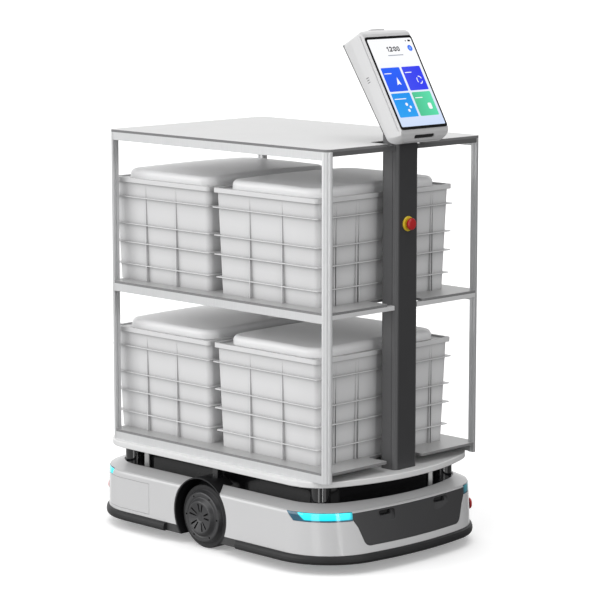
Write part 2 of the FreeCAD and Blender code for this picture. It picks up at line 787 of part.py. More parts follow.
# --------------------------------------------------------------- drive units
XROT = FreeCAD.Rotation(V(0, 0, 1), V(1, 0, 0))
b = body("drive_motor_left")
s = sketch(b, "XZ_Plane")     # sketch X = distance from the axis, Y = along it
# profile from the gearbox face inwards, revolved about the sketch's V axis
polygon(s, [(10.05, 0), (41, 0), (41, 34), (36, 38), (34, 40), (34, 104), (30, 108), (0, 108), (0, 12), (10.05, 12)])
revolve(b, s, "V_Axis")
b.Placement = FreeCAD.Placement(V(0, 0, 0), FreeCAD.Rotation(V(0, 1, 0), 90))
b.setExpression("Placement.Base.y", "Dims.wheel_y")
b.setExpression("Placement.Base.z", "Dims.wheel_rad")
b.Placement = FreeCAD.Placement(V(-262, g("wheel_y"), g("wheel_rad")), FreeCAD.Rotation(V(0, 1, 0), 90))
bracket = box("motor_bracket", 8, 90, 90, -214, "Dims.wheel_y - 45", 36)
node(fuse("drive_motor_left_unit", [b, bracket]), "drive_motor_left")
node(mirror("drive_motor_right", NODES[-1][1], V(1, 0, 0)), "drive_motor_right")

# tyre: rounded shoulders and two fine tread grooves; local axis is Z, turned to X
WHEEL_PL = FreeCAD.Placement(V(-g("tyre_face"), g("wheel_y"), g("wheel_rad")), FreeCAD.Rotation(V(0, 1, 0), 90))
R = g("wheel_rad")
W = g("tyre_width")
b = body("tyre_left")
s = sketch(b, "XZ_Plane")
polygon(s, [(66, 0), (R - 3.5, 0), (R - 1.6, 0.9), (R - 0.4, 2.6), (R, 5), (R, 14), (R - 1.6, 15), (R - 1.6, 17.4), (R, 18.4),
            (R, W - 18.4), (R - 1.6, W - 17.4), (R - 1.6, W - 15), (R, W - 14), (R, W - 5), (R - 0.4, W - 2.6), (R - 1.6, W - 0.9), (R - 3.5, W), (66, W)])
revolve(b, s, "V_Axis")
b.Placement = WHEEL_PL
node(b, "tyre_left")
node(mirror("tyre_right", b, V(1, 0, 0)), "tyre_right")

b = body("rim_left")
s = sketch(b, "XZ_Plane")
polygon(s, [(0, 4), (20, 4), (24, 8), (24, 16), (58, 22), (60, 0), (66, 0), (66, W - 1), (60, W - 1), (58, 30), (22, 24), (22, 42), (10, 44), (10, 60), (0, 60)])
revolve(b, s, "V_Axis")
b.Placement = WHEEL_PL
node(b, "rim_left")
node(mirror("rim_right", b, V(1, 0, 0)), "rim_right")

# hub cap: raised bolt ring, and a dished boss with five pairs of radial slots
b = body("hub_cap_left")
s = sketch(b, "XZ_Plane")
polygon(s, [(0, -17.5), (10, -17.5), (14, -18.6), (40.5, -22.4), (43.5, -22.6), (45.6, -21.6), (47.4, -19.0), (52.6, -12.4), (55.2, -11.4), (57.5, -12.6), (66.0, -12.8), (68.4, -11.6),
            (70.6, -7.0), (74.5, -1.2), (76.5, 0.0), (66, 0), (64, 0), (58, -2), (0, -2)])
r = revolve(b, s, "V_Axis")
s2 = sketch(b, "XY_Plane", -30)
for i in range(6):
    a = math.radians(60 * i + 30)
    circle(s2, 61.2 * math.cos(a), 61.2 * math.sin(a), 2.8)
pocket(b, s2, 22)
s3 = sketch(b, "XY_Plane", -30)
for i in range(5):
    for half in (-12.5, 12.5):
        a = math.radians(72 * i + 42 + half)
        ux, uy = math.cos(a), math.sin(a)
        wx, wy = -uy, ux
        r0, r1, hw = 15.5, 39.0, 2.7
        pts = [(ux * r0 + wx * hw * 0.6, uy * r0 + wy * hw * 0.6), (ux * r0 - wx * hw * 0.6, uy * r0 - wy * hw * 0.6),
               (ux * r1 - wx * hw, uy * r1 - wy * hw), (ux * r1 + wx * hw, uy * r1 + wy * hw)]
        polygon(s3, pts)
pocket(b, s3, 18.5)
b.Placement = WHEEL_PL
node(b, "hub_cap_left")
node(mirror("hub_cap_right", b, V(1, 0, 0)), "hub_cap_right")

# ------------------------------------------------------------------ casters
cp = []
plate = box("caster_top_plate", 92, 76, 5, "-Dims.caster_px - 46", "-Dims.caster_py - 38", 125)
race = cyl("caster_race", 25, 12, "-Dims.caster_px", "-Dims.caster_py", 113)
pbore = cyl("caster_pin_bore", 6.05, 40, "-Dims.caster_px", "-Dims.caster_py", 100)
master = cut("caster_plate_master", fuse("caster_plate_raw", [plate, race]), pbore)
node(group("caster_plates", [master,
                             copy("caster_plate_fr", master, "2 * Dims.caster_px", 0, 0),
                             copy("caster_plate_rl", master, 0, "2 * Dims.caster_py", 0),
                             copy("caster_plate_rr", master, "2 * Dims.caster_px", "2 * Dims.caster_py", 0)]), "caster_plates")

crown = cyl("fork_crown", 27, 7, "-Dims.caster_px", "-Dims.caster_py", 105.5)
kpin = cyl("fork_kingpin", 6, 22, "-Dims.caster_px", "-Dims.caster_py", 106)
legs = []
for sx in (-1, 1):
    b = body("fork_leg_%s" % ("a" if sx < 0 else "b"))
    s = sketch(b, "YZ_Plane")
    polygon(s, [(-22, 105.5), (22, 105.5), (g("caster_trail") + 13, 52), (g("caster_trail") + 13, 42), (g("caster_trail") + 8, 34),
                (g("caster_trail") - 8, 34), (g("caster_trail") - 13, 42), (g("caster_trail") - 13, 52)])
    pad(b, s, 4)
    b.Placement = FreeCAD.Placement(V(-g("caster_px") + (17 if sx > 0 else -21), -g("caster_py"), 0), FreeCAD.Rotation())
    legs.append(b)
fbr = box("fork_bridge", 42, 44, 5, "-Dims.caster_px - 21", "-Dims.caster_py - 22", 103.5)
fax = cyl("fork_axle", 5, 46, "-Dims.caster_px - 23", "-Dims.caster_py + Dims.caster_trail", "Dims.caster_rad", FreeCAD.Rotation(V(0, 1, 0), 90))
fork = fuse("caster_fork_master", [crown, kpin, legs[0], legs[1], fbr, fax])
node(fork, "caster_fork_fl")
node(copy("caster_fork_fr", fork, "2 * Dims.caster_px", 0, 0), "caster_fork_fr")
node(copy("caster_fork_rl", fork, 0, "2 * Dims.caster_py", 0), "caster_fork_rl")
node(copy("caster_fork_rr", fork, "2 * Dims.caster_px", "2 * Dims.caster_py", 0), "caster_fork_rr")

b = body("caster_wheel_fl")
s = sketch(b, "XZ_Plane")
polygon(s, [(5.05, -15), (14, -15), (14, -11), (34, -11), (36, -14), (41, -14), (44, -11), (45, -6), (45, 6), (44, 11), (41, 14), (36, 14),
            (34, 11), (14, 11), (14, 15), (5.05, 15)])
revolve(b, s, "V_Axis")
b.Placement = FreeCAD.Placement(V(-g("caster_px"), -g("caster_py") + g("caster_trail"), g("caster_rad")), FreeCAD.Rotation(V(0, 1, 0), 90))
node(b, "caster_wheel_fl")
cw = b
node(copy("caster_wheel_fr", cw, "2 * Dims.caster_px", 0, 0), "caster_wheel_fr")
node(copy("caster_wheel_rl", cw, 0, "2 * Dims.caster_py", 0), "caster_wheel_rl")
node(copy("caster_wheel_rr", cw, "2 * Dims.caster_px", "2 * Dims.caster_py", 0), "caster_wheel_rr")

# --------------------------------------------------------------------- rack
deck_top = g("deck_low") + g("deck_thick")
hw, hl, pr_ = g("rack_width") / 2, g("rack_length") / 2, g("post_rad")
ry = g("rack_y")
post_h = g("top_level") - deck_top


def post_geos():
    """Quarter-round extrusion: centre of the arc at the origin, arc towards
    -X, -Y, with a narrow slot in each flat face."""
    r = pr_
    return [
        Part.LineSegment(V(0, -r, 0), V(0, -12.2, 0)),
        Part.LineSegment(V(0, -12.2, 0), V(-2.2, -12.2, 0)),
        Part.LineSegment(V(-2.2, -12.2, 0), V(-2.2, -9.0, 0)),
        Part.LineSegment(V(-2.2, -9.0, 0), V(0, -9.0, 0)),
        Part.LineSegment(V(0, -9.0, 0), V(0, 0, 0)),
        Part.LineSegment(V(0, 0, 0), V(-9.0, 0, 0)),
        Part.LineSegment(V(-9.0, 0, 0), V(-9.0, -2.2, 0)),
        Part.LineSegment(V(-9.0, -2.2, 0), V(-12.2, -2.2, 0)),
        Part.LineSegment(V(-12.2, -2.2, 0), V(-12.2, 0, 0)),
        Part.LineSegment(V(-12.2, 0, 0), V(-r, 0, 0)),
        Part.Arc(V(-r, 0, 0), V(-r * math.cos(math.pi / 4), -r * math.sin(math.pi / 4), 0), V(0, -r, 0)),
    ]


b = body("post_fl")
s = sketch(b, "XY_Plane")
chain(s, post_geos())
circle(s, -6.5, -6.5, 2.6)
pad(b, s, "Dims.top_level - Dims.deck_low - Dims.deck_thick")
b.setExpression("Placement.Base.x", "-Dims.rack_width / 2 + Dims.post_rad")
b.setExpression("Placement.Base.y", "Dims.rack_y - Dims.rack_length / 2 + Dims.post_rad")
b.setExpression("Placement.Base.z", "Dims.deck_low + Dims.deck_thick")
doc.recompute()
m1 = mirror("post_fr", b, V(1, 0, 0))
m2 = mirror("post_rl", b, V(0, 1, 0))
m2.Base = V(0, ry, 0)
doc.recompute()
m3 = mirror("post_rr", m2, V(1, 0, 0))
doc.recompute()
node(group("shelf_posts", [b, m1, m2, m3]), "shelf_posts")

# side rails: closed rectangular tubes between the posts at three levels
rails = []
for lv, zexp in (("low", "Dims.deck_low + Dims.deck_thick"), ("mid", "Dims.mid_level - Dims.rail_high"), ("top", "Dims.top_level - Dims.rail_high")):
    b = body("side_rail_" + lv)
    s = sketch(b, "XZ_Plane")
    rect(s, 0, 0, g("rail_deep"), g("rail_high"), "Dims.rail_deep", "Dims.rail_high")
    rect(s, 2, 2, g("rail_deep") - 2, g("rail_high") - 2, "Dims.rail_deep - 4", "Dims.rail_high - 4")
    pad(b, s, "Dims.rack_length - 2 * Dims.post_rad")
    b.setExpression("Placement.Base.x", "-Dims.rack_width / 2")
    b.setExpression("Placement.Base.y", "Dims.rack_y + Dims.rack_length / 2 - Dims.post_rad")
    b.setExpression("Placement.Base.z", zexp)
    rails.append(b)
    doc.recompute()
    rails.append(mirror("side_rail_r_" + lv, b, V(1, 0, 0)))
node(group("side_rails", rails), "side_rails")

# cross rails: low bars under the front and rear edges of the upper two plates,
# the front ones cut at the column
cr = []
for lv in ("mid", "top"):
    zz = "Dims.%s_level - Dims.cross_high" % lv
    for sx in (-1, 1):
        x0 = "-Dims.rack_width / 2 + Dims.post_rad" if sx < 0 else "Dims.col_width / 2"
        cr.append(box("cross_front", "Dims.rack_width / 2 - Dims.post_rad - Dims.col_width / 2", "Dims.rail_deep", "Dims.cross_high",
                      x0, "Dims.rack_y - Dims.rack_length / 2", zz))
    cr.append(box("cross_rear", "Dims.rack_width - 2 * Dims.post_rad", "Dims.rail_deep", "Dims.cross_high",
                  "-Dims.rack_width / 2 + Dims.post_rad", "Dims.rack_y + Dims.rack_length / 2 - Dims.rail_deep", zz))
node(group("cross_rails", cr), "cross_rails")


def notch_geos(x0, x1, y0, y1, r):
    """Notch outline open past y0: rounded inner corners."""
    return [
        Part.LineSegment(V(x0, y0, 0), V(x0, y1 - r, 0)),
        Part.Arc(V(x0, y1 - r, 0), V(x0 + r * (1 - math.cos(math.pi / 4)), y1 - r + r * math.sin(math.pi / 4), 0), V(x0 + r, y1, 0)),
        Part.LineSegment(V(x0 + r, y1, 0), V(x1 - r, y1, 0)),
        Part.Arc(V(x1 - r, y1, 0), V(x1 - r + r * math.sin(math.pi / 4), y1 - r * (1 - math.cos(math.pi / 4)), 0), V(x1, y1 - r, 0)),
        Part.LineSegment(V(x1, y1 - r, 0), V(x1, y0, 0)),
        Part.LineSegment(V(x1, y0, 0), V(x0, y0, 0)),
    ]


def shelf(name, level, corners):
    b = body(name)
    s = sketch(b, "XY_Plane")
    rect(s, -hw, -hl, hw, hl, "Dims.rack_width", "Dims.rack_length")
    p = pad(b, s, "Dims.plate_thick")
    if corners == "round":
        p = fillet(b, p, edge_names(p.Shape, upright), "Dims.post_rad")
    else:
        s2 = sketch(b, "XY_Plane")
        q = pr_ + 0.3
        for sx in (-1, 1):
            for sy in (-1, 1):
                x0, x1 = sorted((sx * (hw - q), sx * (hw + 5)))
                y0, y1 = sorted((sy * (hl - q), sy * (hl + 5)))
                rect(s2, x0, y0, x1, y1)
        pocket(b, s2, through=True)
    s3 = sketch(b, "XY_Plane")
    nw = g("notch_halfw")
    chain(s3, notch_geos(-nw, nw, -hl - 6, -hl + g("notch_deep"), 8.0))
    pk = pocket(b, s3, through=True)
    tips = edge_names(pk.Shape, lambda e: upright(e) and abs(abs(e.Vertexes[0].X) - nw) < 0.01 and abs(e.Vertexes[0].Y + hl) < 0.01)
    if tips:
        fillet(b, pk, tips, 7.0)
    b.setExpression("Placement.Base.y", "Dims.rack_y")
    b.setExpression("Placement.Base.z", level)
    return node(b, name)


shelf("top_shelf", "Dims.top_level", "round")
shelf("mid_shelf", "Dims.mid_level", "square")
shelf("bottom_shelf", "Dims.deck_low + Dims.deck_thick + Dims.rail_high", "square")

# ------------------------------------------------------------------- column
ta = math.radians(g("head_tilt"))
VD = V(0, math.sin(ta), math.cos(ta))       # up the screen
ND = V(0, -math.cos(ta), math.sin(ta))      # out of the screen
H0 = V(0, g("head_y"), g("head_z"))


def hp(v, n, x=0.0):
    q = H0 + VD * v + ND * n
    return V(x, q.y, q.z)


# back plane of the head: through (0,-58.5) and (297,-76) in screen coordinates
BACK0, BACK1 = (0.0, -58.5), (297.0, -76.0)
b0, b1 = hp(*BACK0), hp(*BACK1)
slope = (b1.z - b0.z) / (b1.y - b0.y)


def back_z(y, off=0.0):
    return b0.z + slope * (y - b0.y) + off


cf, cd, cw_ = g("col_front"), g("col_depth"), g("col_width")
col_rear = cf + cd
b = body("column_tube")
s = sketch(b, "XY_Plane")
rect(s, -cw_ / 2, cf, cw_ / 2, cf + cd, "Dims.col_width", "Dims.col_depth")
p = pad(b, s, 1300 - deck_top)
s2 = sketch(b, "XY_Plane")
rect(s2, -cw_ / 2 + 3, cf + 3, cw_ / 2 - 3, cf + cd - 3)
pk = pocket(b, s2, through=True)
inner_edges = edge_names(pk.Shape, lambda e: upright(e) and abs(abs(e.Vertexes[0].X) - (cw_ / 2 - 3)) < 0.01)
pf = fillet(b, pk, inner_edges, 10.0)
outer_edges = edge_names(pf.Shape, lambda e: upright(e) and abs(abs(e.Vertexes[0].X) - cw_ / 2) < 0.01
                         and min(abs(e.Vertexes[0].Y - cf), abs(e.Vertexes[0].Y - cf - cd)) < 0.01)
fo = fillet(b, pf, outer_edges, "Dims.col_corner")
s3 = sketch(b, "XY_Plane")
for sx in (-1, 1):
    x0, x1 = sorted((sx * (cw_ / 2 - 1.3), sx * (cw_ / 2 + 2)))
    rect(s3, x0, cf + 13.4, x1, cf + 15.8)
pocket(b, s3, through=True)
b.setExpression("Placement.Base.z", "Dims.deck_low + Dims.deck_thick")
doc.recompute()
# the top is cut to the slope of the head's back
cut_pts = [V(-100, cf - 60, back_z(cf - 60)), V(-100, col_rear + 60, back_z(col_rear + 60)),
           V(-100, col_rear + 60, 1800), V(-100, cf - 60, 1800)]
mitre = Part.Face(Part.makePolygon(cut_pts + [cut_pts[0]])).extrude(V(200, 0, 0))
mitre_f = feature("column_mitre", mitre)
stop_hole = cyl("stop_hole", 11.2, 30, 0, "Dims.col_front - 10", "Dims.estop_z", FreeCAD.Rotation(V(1, 0, 0), -90))
column = cut("column_cut", cut("column_mitred", b, mitre_f), stop_hole)
node(column, "column")

# ---------------------------------------------------------- stop buttons
# local axis +Z points outwards
def collar(name, rad, inner_rad, thick, neck_rad, neck_len):
    b = body(name)
    s = sketch(b, "XZ_Plane")
    polygon(s, [(inner_rad, -neck_len), (neck_rad, -neck_len), (neck_rad, 0), (rad, 0), (rad, thick - 1.2), (rad - 1.2, thick), (inner_rad, thick)])
    revolve(b, s, "V_Axis")
    return b


def mushroom(name, cap_rad, low, high, stem_rad, stem_low, cone=3.0):
    """Cap from low to high above the collar's seat, domed, on a stem."""
    b = body(name)
    s = sketch(b, "XZ_Plane")
    polygon(s, [(0, stem_low), (stem_rad, stem_low), (stem_rad, low - cone), (cap_rad - 4.5, low), (cap_rad - 1.0, low + 1.2), (cap_rad, low + 3.0),
                (cap_rad, high - 3.2), (cap_rad - 1.4, high - 1.3), (cap_rad - 4.0, high - 0.3), (cap_rad * 0.45, high), (0, high + 0.4)])
    revolve(b, s, "V_Axis")
    return b


c1 = collar("stop_collar_column", g("estop_ring"), 9.3, 4.0, 11.0, 24.0)
c1.Placement = FreeCAD.Placement(V(0, cf, g("estop_z")), FreeCAD.Rotation(V(0, 0, 1), V(0, -1, 0)))
cols = [c1]
for key in ("front", "rear"):
    p0, d0 = BTN[key]
    c = collar("stop_collar_" + key, 17.0, 7.4, 2.4, 14.0, 18.0)
    c.Placement = FreeCAD.Placement(p0 + d0 * 0.8, FreeCAD.Rotation(V(0, 0, 1), d0))
    cols.append(c)
node(group("estop_collars", cols), "estop_collars")
m = mushroom("estop_button_column", g("estop_cap"), 8.6, 18.5, 9.0, -14.0, 0.2)
m.Placement = c1.Placement
node(m, "estop_button_column")
for key in ("front", "rear"):
    p0, d0 = BTN[key]
    m = mushroom("estop_button_" + key, 15.5, 6.4, 14.2, 7.1, -10.0, 0.2)
    m.Placement = FreeCAD.Placement(p0 + d0 * 0.8, FreeCAD.Rotation(V(0, 0, 1), d0))
    node(m, "estop_button_" + key)

# --------------------------------------------------------------------- head
def screen_polygon(pts, x):
    w = [hp(v, n, x) for v, n in pts]
    return Part.Face(Part.makePolygon(w + [w[0]]))


# side profile, in distances up the screen and out of it
def lerp(a, c, t):
    return (a[0] + (c[0] - a[0]) * t, a[1] + (c[1] - a[1]) * t)


bt = 3.0   # back cover thickness


def back_at(v, off=0.0):
    return (v, BACK0[1] + (BACK1[1] - BACK0[1]) * v / BACK1[0] + off)


BK0 = back_at(-2.0, bt)
BK1 = back_at(286.0, bt)
profile = [
    (-1.5, -1.0), (271.0, -1.0), (280.5, -3.0), (288.5, -7.4), (295.0, -13.5), (300.0, -21.5), (302.4, -31.0), (303.0, -44.0),
    (302.4, -56.0), (300.2, -65.0), (296.4, -71.4), (291.4, -75.0), back_at(286.6), back_at(286.6, bt), BK1, BK0,
    (-9.0, -53.6), (-15.5, -49.8), (-21.0, -44.2), (-25.0, -36.8), (-27.0, -28.5), (-26.0, -21.0), (-20.5, -13.6), (-11.0, -6.0),
]
halfw = g("head_halfw")
raw = screen_polygon(profile, -halfw).extrude(V(2 * halfw, 0, 0))
# round the four long corners seen from the front, then the side edges
pt_es = []
for e in raw.Edges:
    if not isinstance(e.Curve, Part.Line):
        continue
    d = e.tangentAt(e.FirstParameter)
    if abs(abs(d.x) - 1) < 1e-6:
        continue
    pt_es.append(e)


def plan_round(shape, hw_, v0, v1, low_r, top_r, crown):
    """Round the head's outline as seen along the screen's normal: large lower
    corners, and a crowned top edge that meets the sides in small arcs."""
    k = math.sqrt(0.5)
    vs = v1 - crown + math.sqrt(crown ** 2 - hw_ ** 2)      # height of the crown's arc at the sides

    def P(x, v):
        return hp(v, 20.0, x)
    # top corner arc, tangent to the side and to the crown's arc
    cx = hw_ - top_r
    cv = v1 - crown + math.sqrt((crown - top_r) ** 2 - cx ** 2)
    dx, dv = cx, cv - (v1 - crown)
    n = math.hypot(dx, dv)
    tx, tv = cx + top_r * dx / n, cv + top_r * dv / n
    am = 0.5 * math.atan2(dv, dx)
    mx, mv = cx + top_r * math.cos(am), cv + top_r * math.sin(am)
    lc = v0 + low_r
    q = low_r * (1 - k)
    edges = [
        Part.LineSegment(P(hw_, lc), P(hw_, cv)).toShape(),
        Part.Arc(P(hw_, cv), P(mx, mv), P(tx, tv)).toShape(),
        Part.Arc(P(tx, tv), P(0, v1), P(-tx, tv)).toShape(),
        Part.Arc(P(-tx, tv), P(-mx, mv), P(-hw_, cv)).toShape(),
        Part.LineSegment(P(-hw_, cv), P(-hw_, lc)).toShape(),
        Part.Arc(P(-hw_, lc), P(-hw_ + q, v0 + q), P(-hw_ + low_r, v0)).toShape(),
        Part.LineSegment(P(-hw_ + low_r, v0), P(hw_ - low_r, v0)).toShape(),
        Part.Arc(P(hw_ - low_r, v0), P(hw_ - q, v0 + q), P(hw_, lc)).toShape(),
    ]
    face = Part.Face(Part.Wire(edges))
    pr = face.extrude(ND * -140.0)
    return shape.common(pr)


head = plan_round(raw, halfw, -28.5, 303.5, 31.0, 15.0, 300.0)


def section(front_w, rear_w, r, v0, v1):
    """Cross-section across the head: rounded front edges, sides that spread a
    little towards the back."""
    def q(x, n):
        return hp(v0, n, x)
    k = r * (1 - math.sqrt(0.5))
    e = [
        Part.LineSegment(q(-front_w + r, 0), q(front_w - r, 0)).toShape(),
        Part.Arc(q(front_w - r, 0), q(front_w - k, -k), q(front_w, -r)).toShape(),
        Part.LineSegment(q(front_w, -r), q(rear_w, -46)).toShape(),
        Part.LineSegment(q(rear_w, -46), q(rear_w, -90)).toShape(),
        Part.LineSegment(q(rear_w, -90), q(-rear_w, -90)).toShape(),
        Part.LineSegment(q(-rear_w, -90), q(-rear_w, -46)).toShape(),
        Part.LineSegment(q(-rear_w, -46), q(-front_w, -r)).toShape(),
        Part.Arc(q(-front_w, -r), q(-front_w + k, -k), q(-front_w + r, 0)).toShape(),
    ]
    return Part.Face(Part.Wire(e)).extrude(VD * (v1 - v0))


head = head.common(section(91.0, halfw, 3.2, -60.0, 340.0))
# hollow it out: an inner copy with 3 mm walls
in_profile = [
    (3.0, -7.0), (266.0, -7.0), (280.0, -10.0), (291.0, -22.0), (297.0, -33.0), (298.0, -46.0), (296.0, -60.0), (282.0, BK1[1] - 6),
    (2.0, BK0[1] - 6), (-10.0, -47.0), (-18.0, -41.0), (-22.0, -33.0), (-20.0, -25.0), (-10.0, -14.0),
]
cav = screen_polygon(in_profile, -(halfw - 3.2)).extrude(V(2 * (halfw - 3.2), 0, 0))
cav = cav.common(Part.Face(Part.makePolygon([hp(-60, 10, -100), hp(360, 10, -100), hp(360, back_at(360, bt + 3.0)[1], -100), hp(-60, back_at(-60, bt + 3.0)[1], -100), hp(-60, 10, -100)])).extrude(V(200, 0, 0)))
cav = plan_round(cav, halfw - 3.4, -25.0, 299.5, 27.6, 11.6, 296.0)
head = head.cut(cav)
# seat for the glass
sw, sl = g("screen_halfw"), g("screen_long")


def rounded_slab(x0, x1, v0, v1, n0, n1, rad):
    pts = [(x0, v0), (x1, v0), (x1, v1), (x0, v1)]
    w = [hp(v, n0, x) for x, v in pts]
    f = Part.Face(Part.makePolygon(w + [w[0]]))
    sol = f.extrude(ND * (n1 - n0))
    es = [e for e in sol.Edges if isinstance(e.Curve, Part.Line) and abs(abs(e.tangentAt(e.FirstParameter).dot(ND)) - 1) < 1e-6]
    return sol.makeFillet(rad, es)


head = head.cut(rounded_slab(-sw - 0.4, sw + 0.4, -0.4, sl + 0.4, -4.4, 5.0, 11.4))
head = head.cut(rounded_slab(-sw + 7, sw - 7, 7, sl - 7, -12, 5.0, 6.0))
# scanner slot across the chin: it looks down and forwards
chin_a, chin_b = hp(-11.0, -6.0), hp(-26.0, -21.0)
chin_mid = hp(-18.9, -12.4)
chin_t = (chin_b - chin_a)
chin_t.normalize()
chin_n = V(0, chin_t.z, -chin_t.y)
if chin_n.dot(V(0, -1, -1)) < 0:
    chin_n = chin_n * -1


def chin_slab(hx, ht, d0, d1, rad):
    c = chin_mid + chin_n * d0
    w = [c + V(-hx, 0, 0) - chin_t * ht, c + V(hx, 0, 0) - chin_t * ht, c + V(hx, 0, 0) + chin_t * ht, c + V(-hx, 0, 0) + chin_t * ht]
    sol = Part.Face(Part.makePolygon(w + [w[0]])).extrude(chin_n * (d1 - d0))
    es = [e for e in sol.Edges if isinstance(e.Curve, Part.Line) and abs(abs(e.tangentAt(e.FirstParameter).dot(chin_n)) - 1) < 1e-6]
    return sol.makeFillet(rad, es)


head = head.cut(chin_slab(39.0, 5.2, -14.0, 6.0, 5.0))
# oval button seat in the top
top_c = hp(303.0, -38.0)


def stadium(hx, hn, v0, v1):
    cxs = hx - hn
    A = [(-cxs, -hn), (cxs, -hn)]
    e1 = Part.LineSegment(hp(v0, -38.0 - hn, -cxs), hp(v0, -38.0 - hn, cxs)).toShape()
    e2 = Part.Arc(hp(v0, -38.0 - hn, cxs), hp(v0, -38.0, cxs + hn), hp(v0, -38.0 + hn, cxs)).toShape()
    e3 = Part.LineSegment(hp(v0, -38.0 + hn, cxs), hp(v0, -38.0 + hn, -cxs)).toShape()
    e4 = Part.Arc(hp(v0, -38.0 + hn, -cxs), hp(v0, -38.0, -cxs - hn), hp(v0, -38.0 - hn, -cxs)).toShape()
    return Part.Face(Part.Wire([e1, e2, e3, e4])).extrude(VD * (v1 - v0))


head = head.cut(stadium(36.0, 15.4, 291.0, 312.0))
node(feature("head_housing", main_solid(head)), "head_housing")

# back cover: a plate over the head's back, with a mounting boss that meets the
# column's sloped top
back = screen_polygon([BK0, BK1, back_at(286.0), back_at(-2.0)], -(halfw - 0.4)).extrude(V(2 * (halfw - 0.4), 0, 0))
node(feature("head_back_cover", back), "head_back_cover")

node(feature("screen_panel", rounded_slab(-sw, sw, 0.0, sl, -4.2, 0.0, 11.0)), "screen_panel")
node(feature("scanner_window", chin_slab(38.6, 4.8, -9.0, -3.0, 4.6)), "scanner_window")
tb = stadium(35.6, 15.0, 296.0, 305.4)
tb_top = []
for e in tb.Edges:
    mid = e.valueAt((e.FirstParameter + e.LastParameter) / 2)
    if abs((mid - H0).dot(VD) - 305.4) < 1e-3:
        tb_top.append(e)
tb = tb.makeFillet(1.6, tb_top)
node(feature("top_button", tb), "top_button")

# -------------------------------------------------------------------- crates
def rrect(hx, hy, r, z):
    e = []
    e.append(Part.LineSegment(V(-hx + r, -hy, z), V(hx - r, -hy, z)).toShape())
    q = r * (1 - math.sqrt(0.5))
    e.append(Part.Arc(V(hx - r, -hy, z), V(hx - q, -hy + q, z), V(hx, -hy + r, z)).toShape())
    e.append(Part.LineSegment(V(hx, -hy + r, z), V(hx, hy - r, z)).toShape())
    e.append(Part.Arc(V(hx, hy - r, z), V(hx - q, hy - q, z), V(hx - r, hy, z)).toShape())
    e.append(Part.LineSegment(V(hx - r, hy, z), V(-hx + r, hy, z)).toShape())
    e.append(Part.Arc(V(-hx + r, hy, z), V(-hx + q, hy - q, z), V(-hx, hy - r, z)).toShape())
    e.append(Part.LineSegment(V(-hx, hy - r, z), V(-hx, -hy + r, z)).toShape())
    e.append(Part.Arc(V(-hx, -hy + r, z), V(-hx + q, -hy + q, z), V(-hx + r, -hy, z)).toShape())
    return Part.Wire(e)


def rplate(hx, hy, r, z0, z1):
    return Part.Face(rrect(hx, hy, r, z0)).extrude(V(0, 0, z1 - z0))


# the core housing rises from the recess cover to the deck plate
core = rplate(225.0, 370.0, 60.0, g("cover_top"), g("deck_low")).cut(
    rplate(221.5, 366.5, 56.5, g("cover_top") - 1.0, g("deck_low") - 3.5))
node(feature("core_housing", main_solid(core)), "core_housing")

bx, by_, tx_, ty_ = g("crate_halfx"), g("crate_halfy"), g("crate_topx"), g("crate_topy")
rx, ry2, ch = g("crate_rimx"), g("crate_rimy"), g("crate_high")
cwl = g("crate_wall")
zt = 275.0


def at(z, a, c):
    return a + (c - a) * z / zt


crate = Part.makeLoft([rrect(bx, by_, 14, 0), rrect(at(ch - 1, bx, tx_), at(ch - 1, by_, ty_), 16, ch - 1)], True, True)
# horizontal ribs
for zr, ex in ((236.6, 265.0), (160.2, 261.8), (107.9, 261.6), (45.2, 257.6)):
    ey = at(zr, by_, ty_) + (ex - at(zr, bx, tx_))
    crate = crate.fuse(rplate(ex, ey, 5.0, zr - 1.3, zr + 1.3))
# rim: flange with a hanging lip
crate = crate.fuse(rplate(rx, ry2, 12.0, ch - 12.6, ch))
crate = crate.cut(rplate(rx - 2.6, ry2 - 2.6, 10.0, ch - 13.6, ch - 3.0).cut(rplate(at(ch, bx, tx_) - 1, at(ch, by_, ty_) - 1, 14.0, ch - 20, ch)))
# upright fins, with an outer edge that stays upright while the wall tapers
fins = []
for yv in (-62.0, 62.0):
    for sx in (-1, 1):
        fins.append(Part.makeBox(30, 2.4, ch - 4, V((257.6 - 30) * 1 if sx > 0 else -257.6, yv - 1.2, 0)))
for xv in (-192.0, -184.0, -109.0, -98.0, 98.0, 109.0, 184.0, 192.0):
    for sy in (-1, 1):
        fins.append(Part.makeBox(2.2, 28, ch - 4, V(xv - 1.1, (193.8 - 28) if sy > 0 else -193.8, 0)))
for f in fins:
    crate = crate.fuse(f)
hollow = Part.makeLoft([rrect(bx - cwl, by_ - cwl, 11, 3.0), rrect(at(ch + 1, bx, tx_) - cwl, at(ch + 1, by_, ty_) - cwl, 13, ch + 1)], True, True)
crate = crate.cut(hollow)
# ledge round the mouth, which the lid sits on
li = g("lid_low")
shelf_in = rplate(232.0, 167.0, 20.0, li - 3.0, li + 0.0)
seat = rplate(at(li, bx, tx_) - 1.0, at(li, by_, ty_) - 1.0, 14.0, li - 2.4, li - 0.1).cut(rplate(226.0, 161.0, 24.0, li - 6, li + 6))
crate = crate.fuse(seat).removeSplitter()
crate_shape = main_solid(crate)

# lid: a plate that drops inside the rim, with a domed top
hxl, hyl = g("lid_halfx"), g("lid_halfy")
rise = g("lid_rise")
dome = rplate(hxl, hyl, 46.0, li, li + rise + 30)
RS = 9000.0
ball = Part.makeSphere(RS, V(0, 0, li + rise - RS))
dome = dome.common(ball)
zcorner = li + 3
tops = []
for e in dome.Edges:
    mid = e.valueAt((e.FirstParameter + e.LastParameter) / 2)
    if mid.z > li + 15 and all(v.Z > li + 15 for v in e.Vertexes):
        tops.append(e)
dome = dome.makeFillet(15.0, tops)
lid_shape = dome
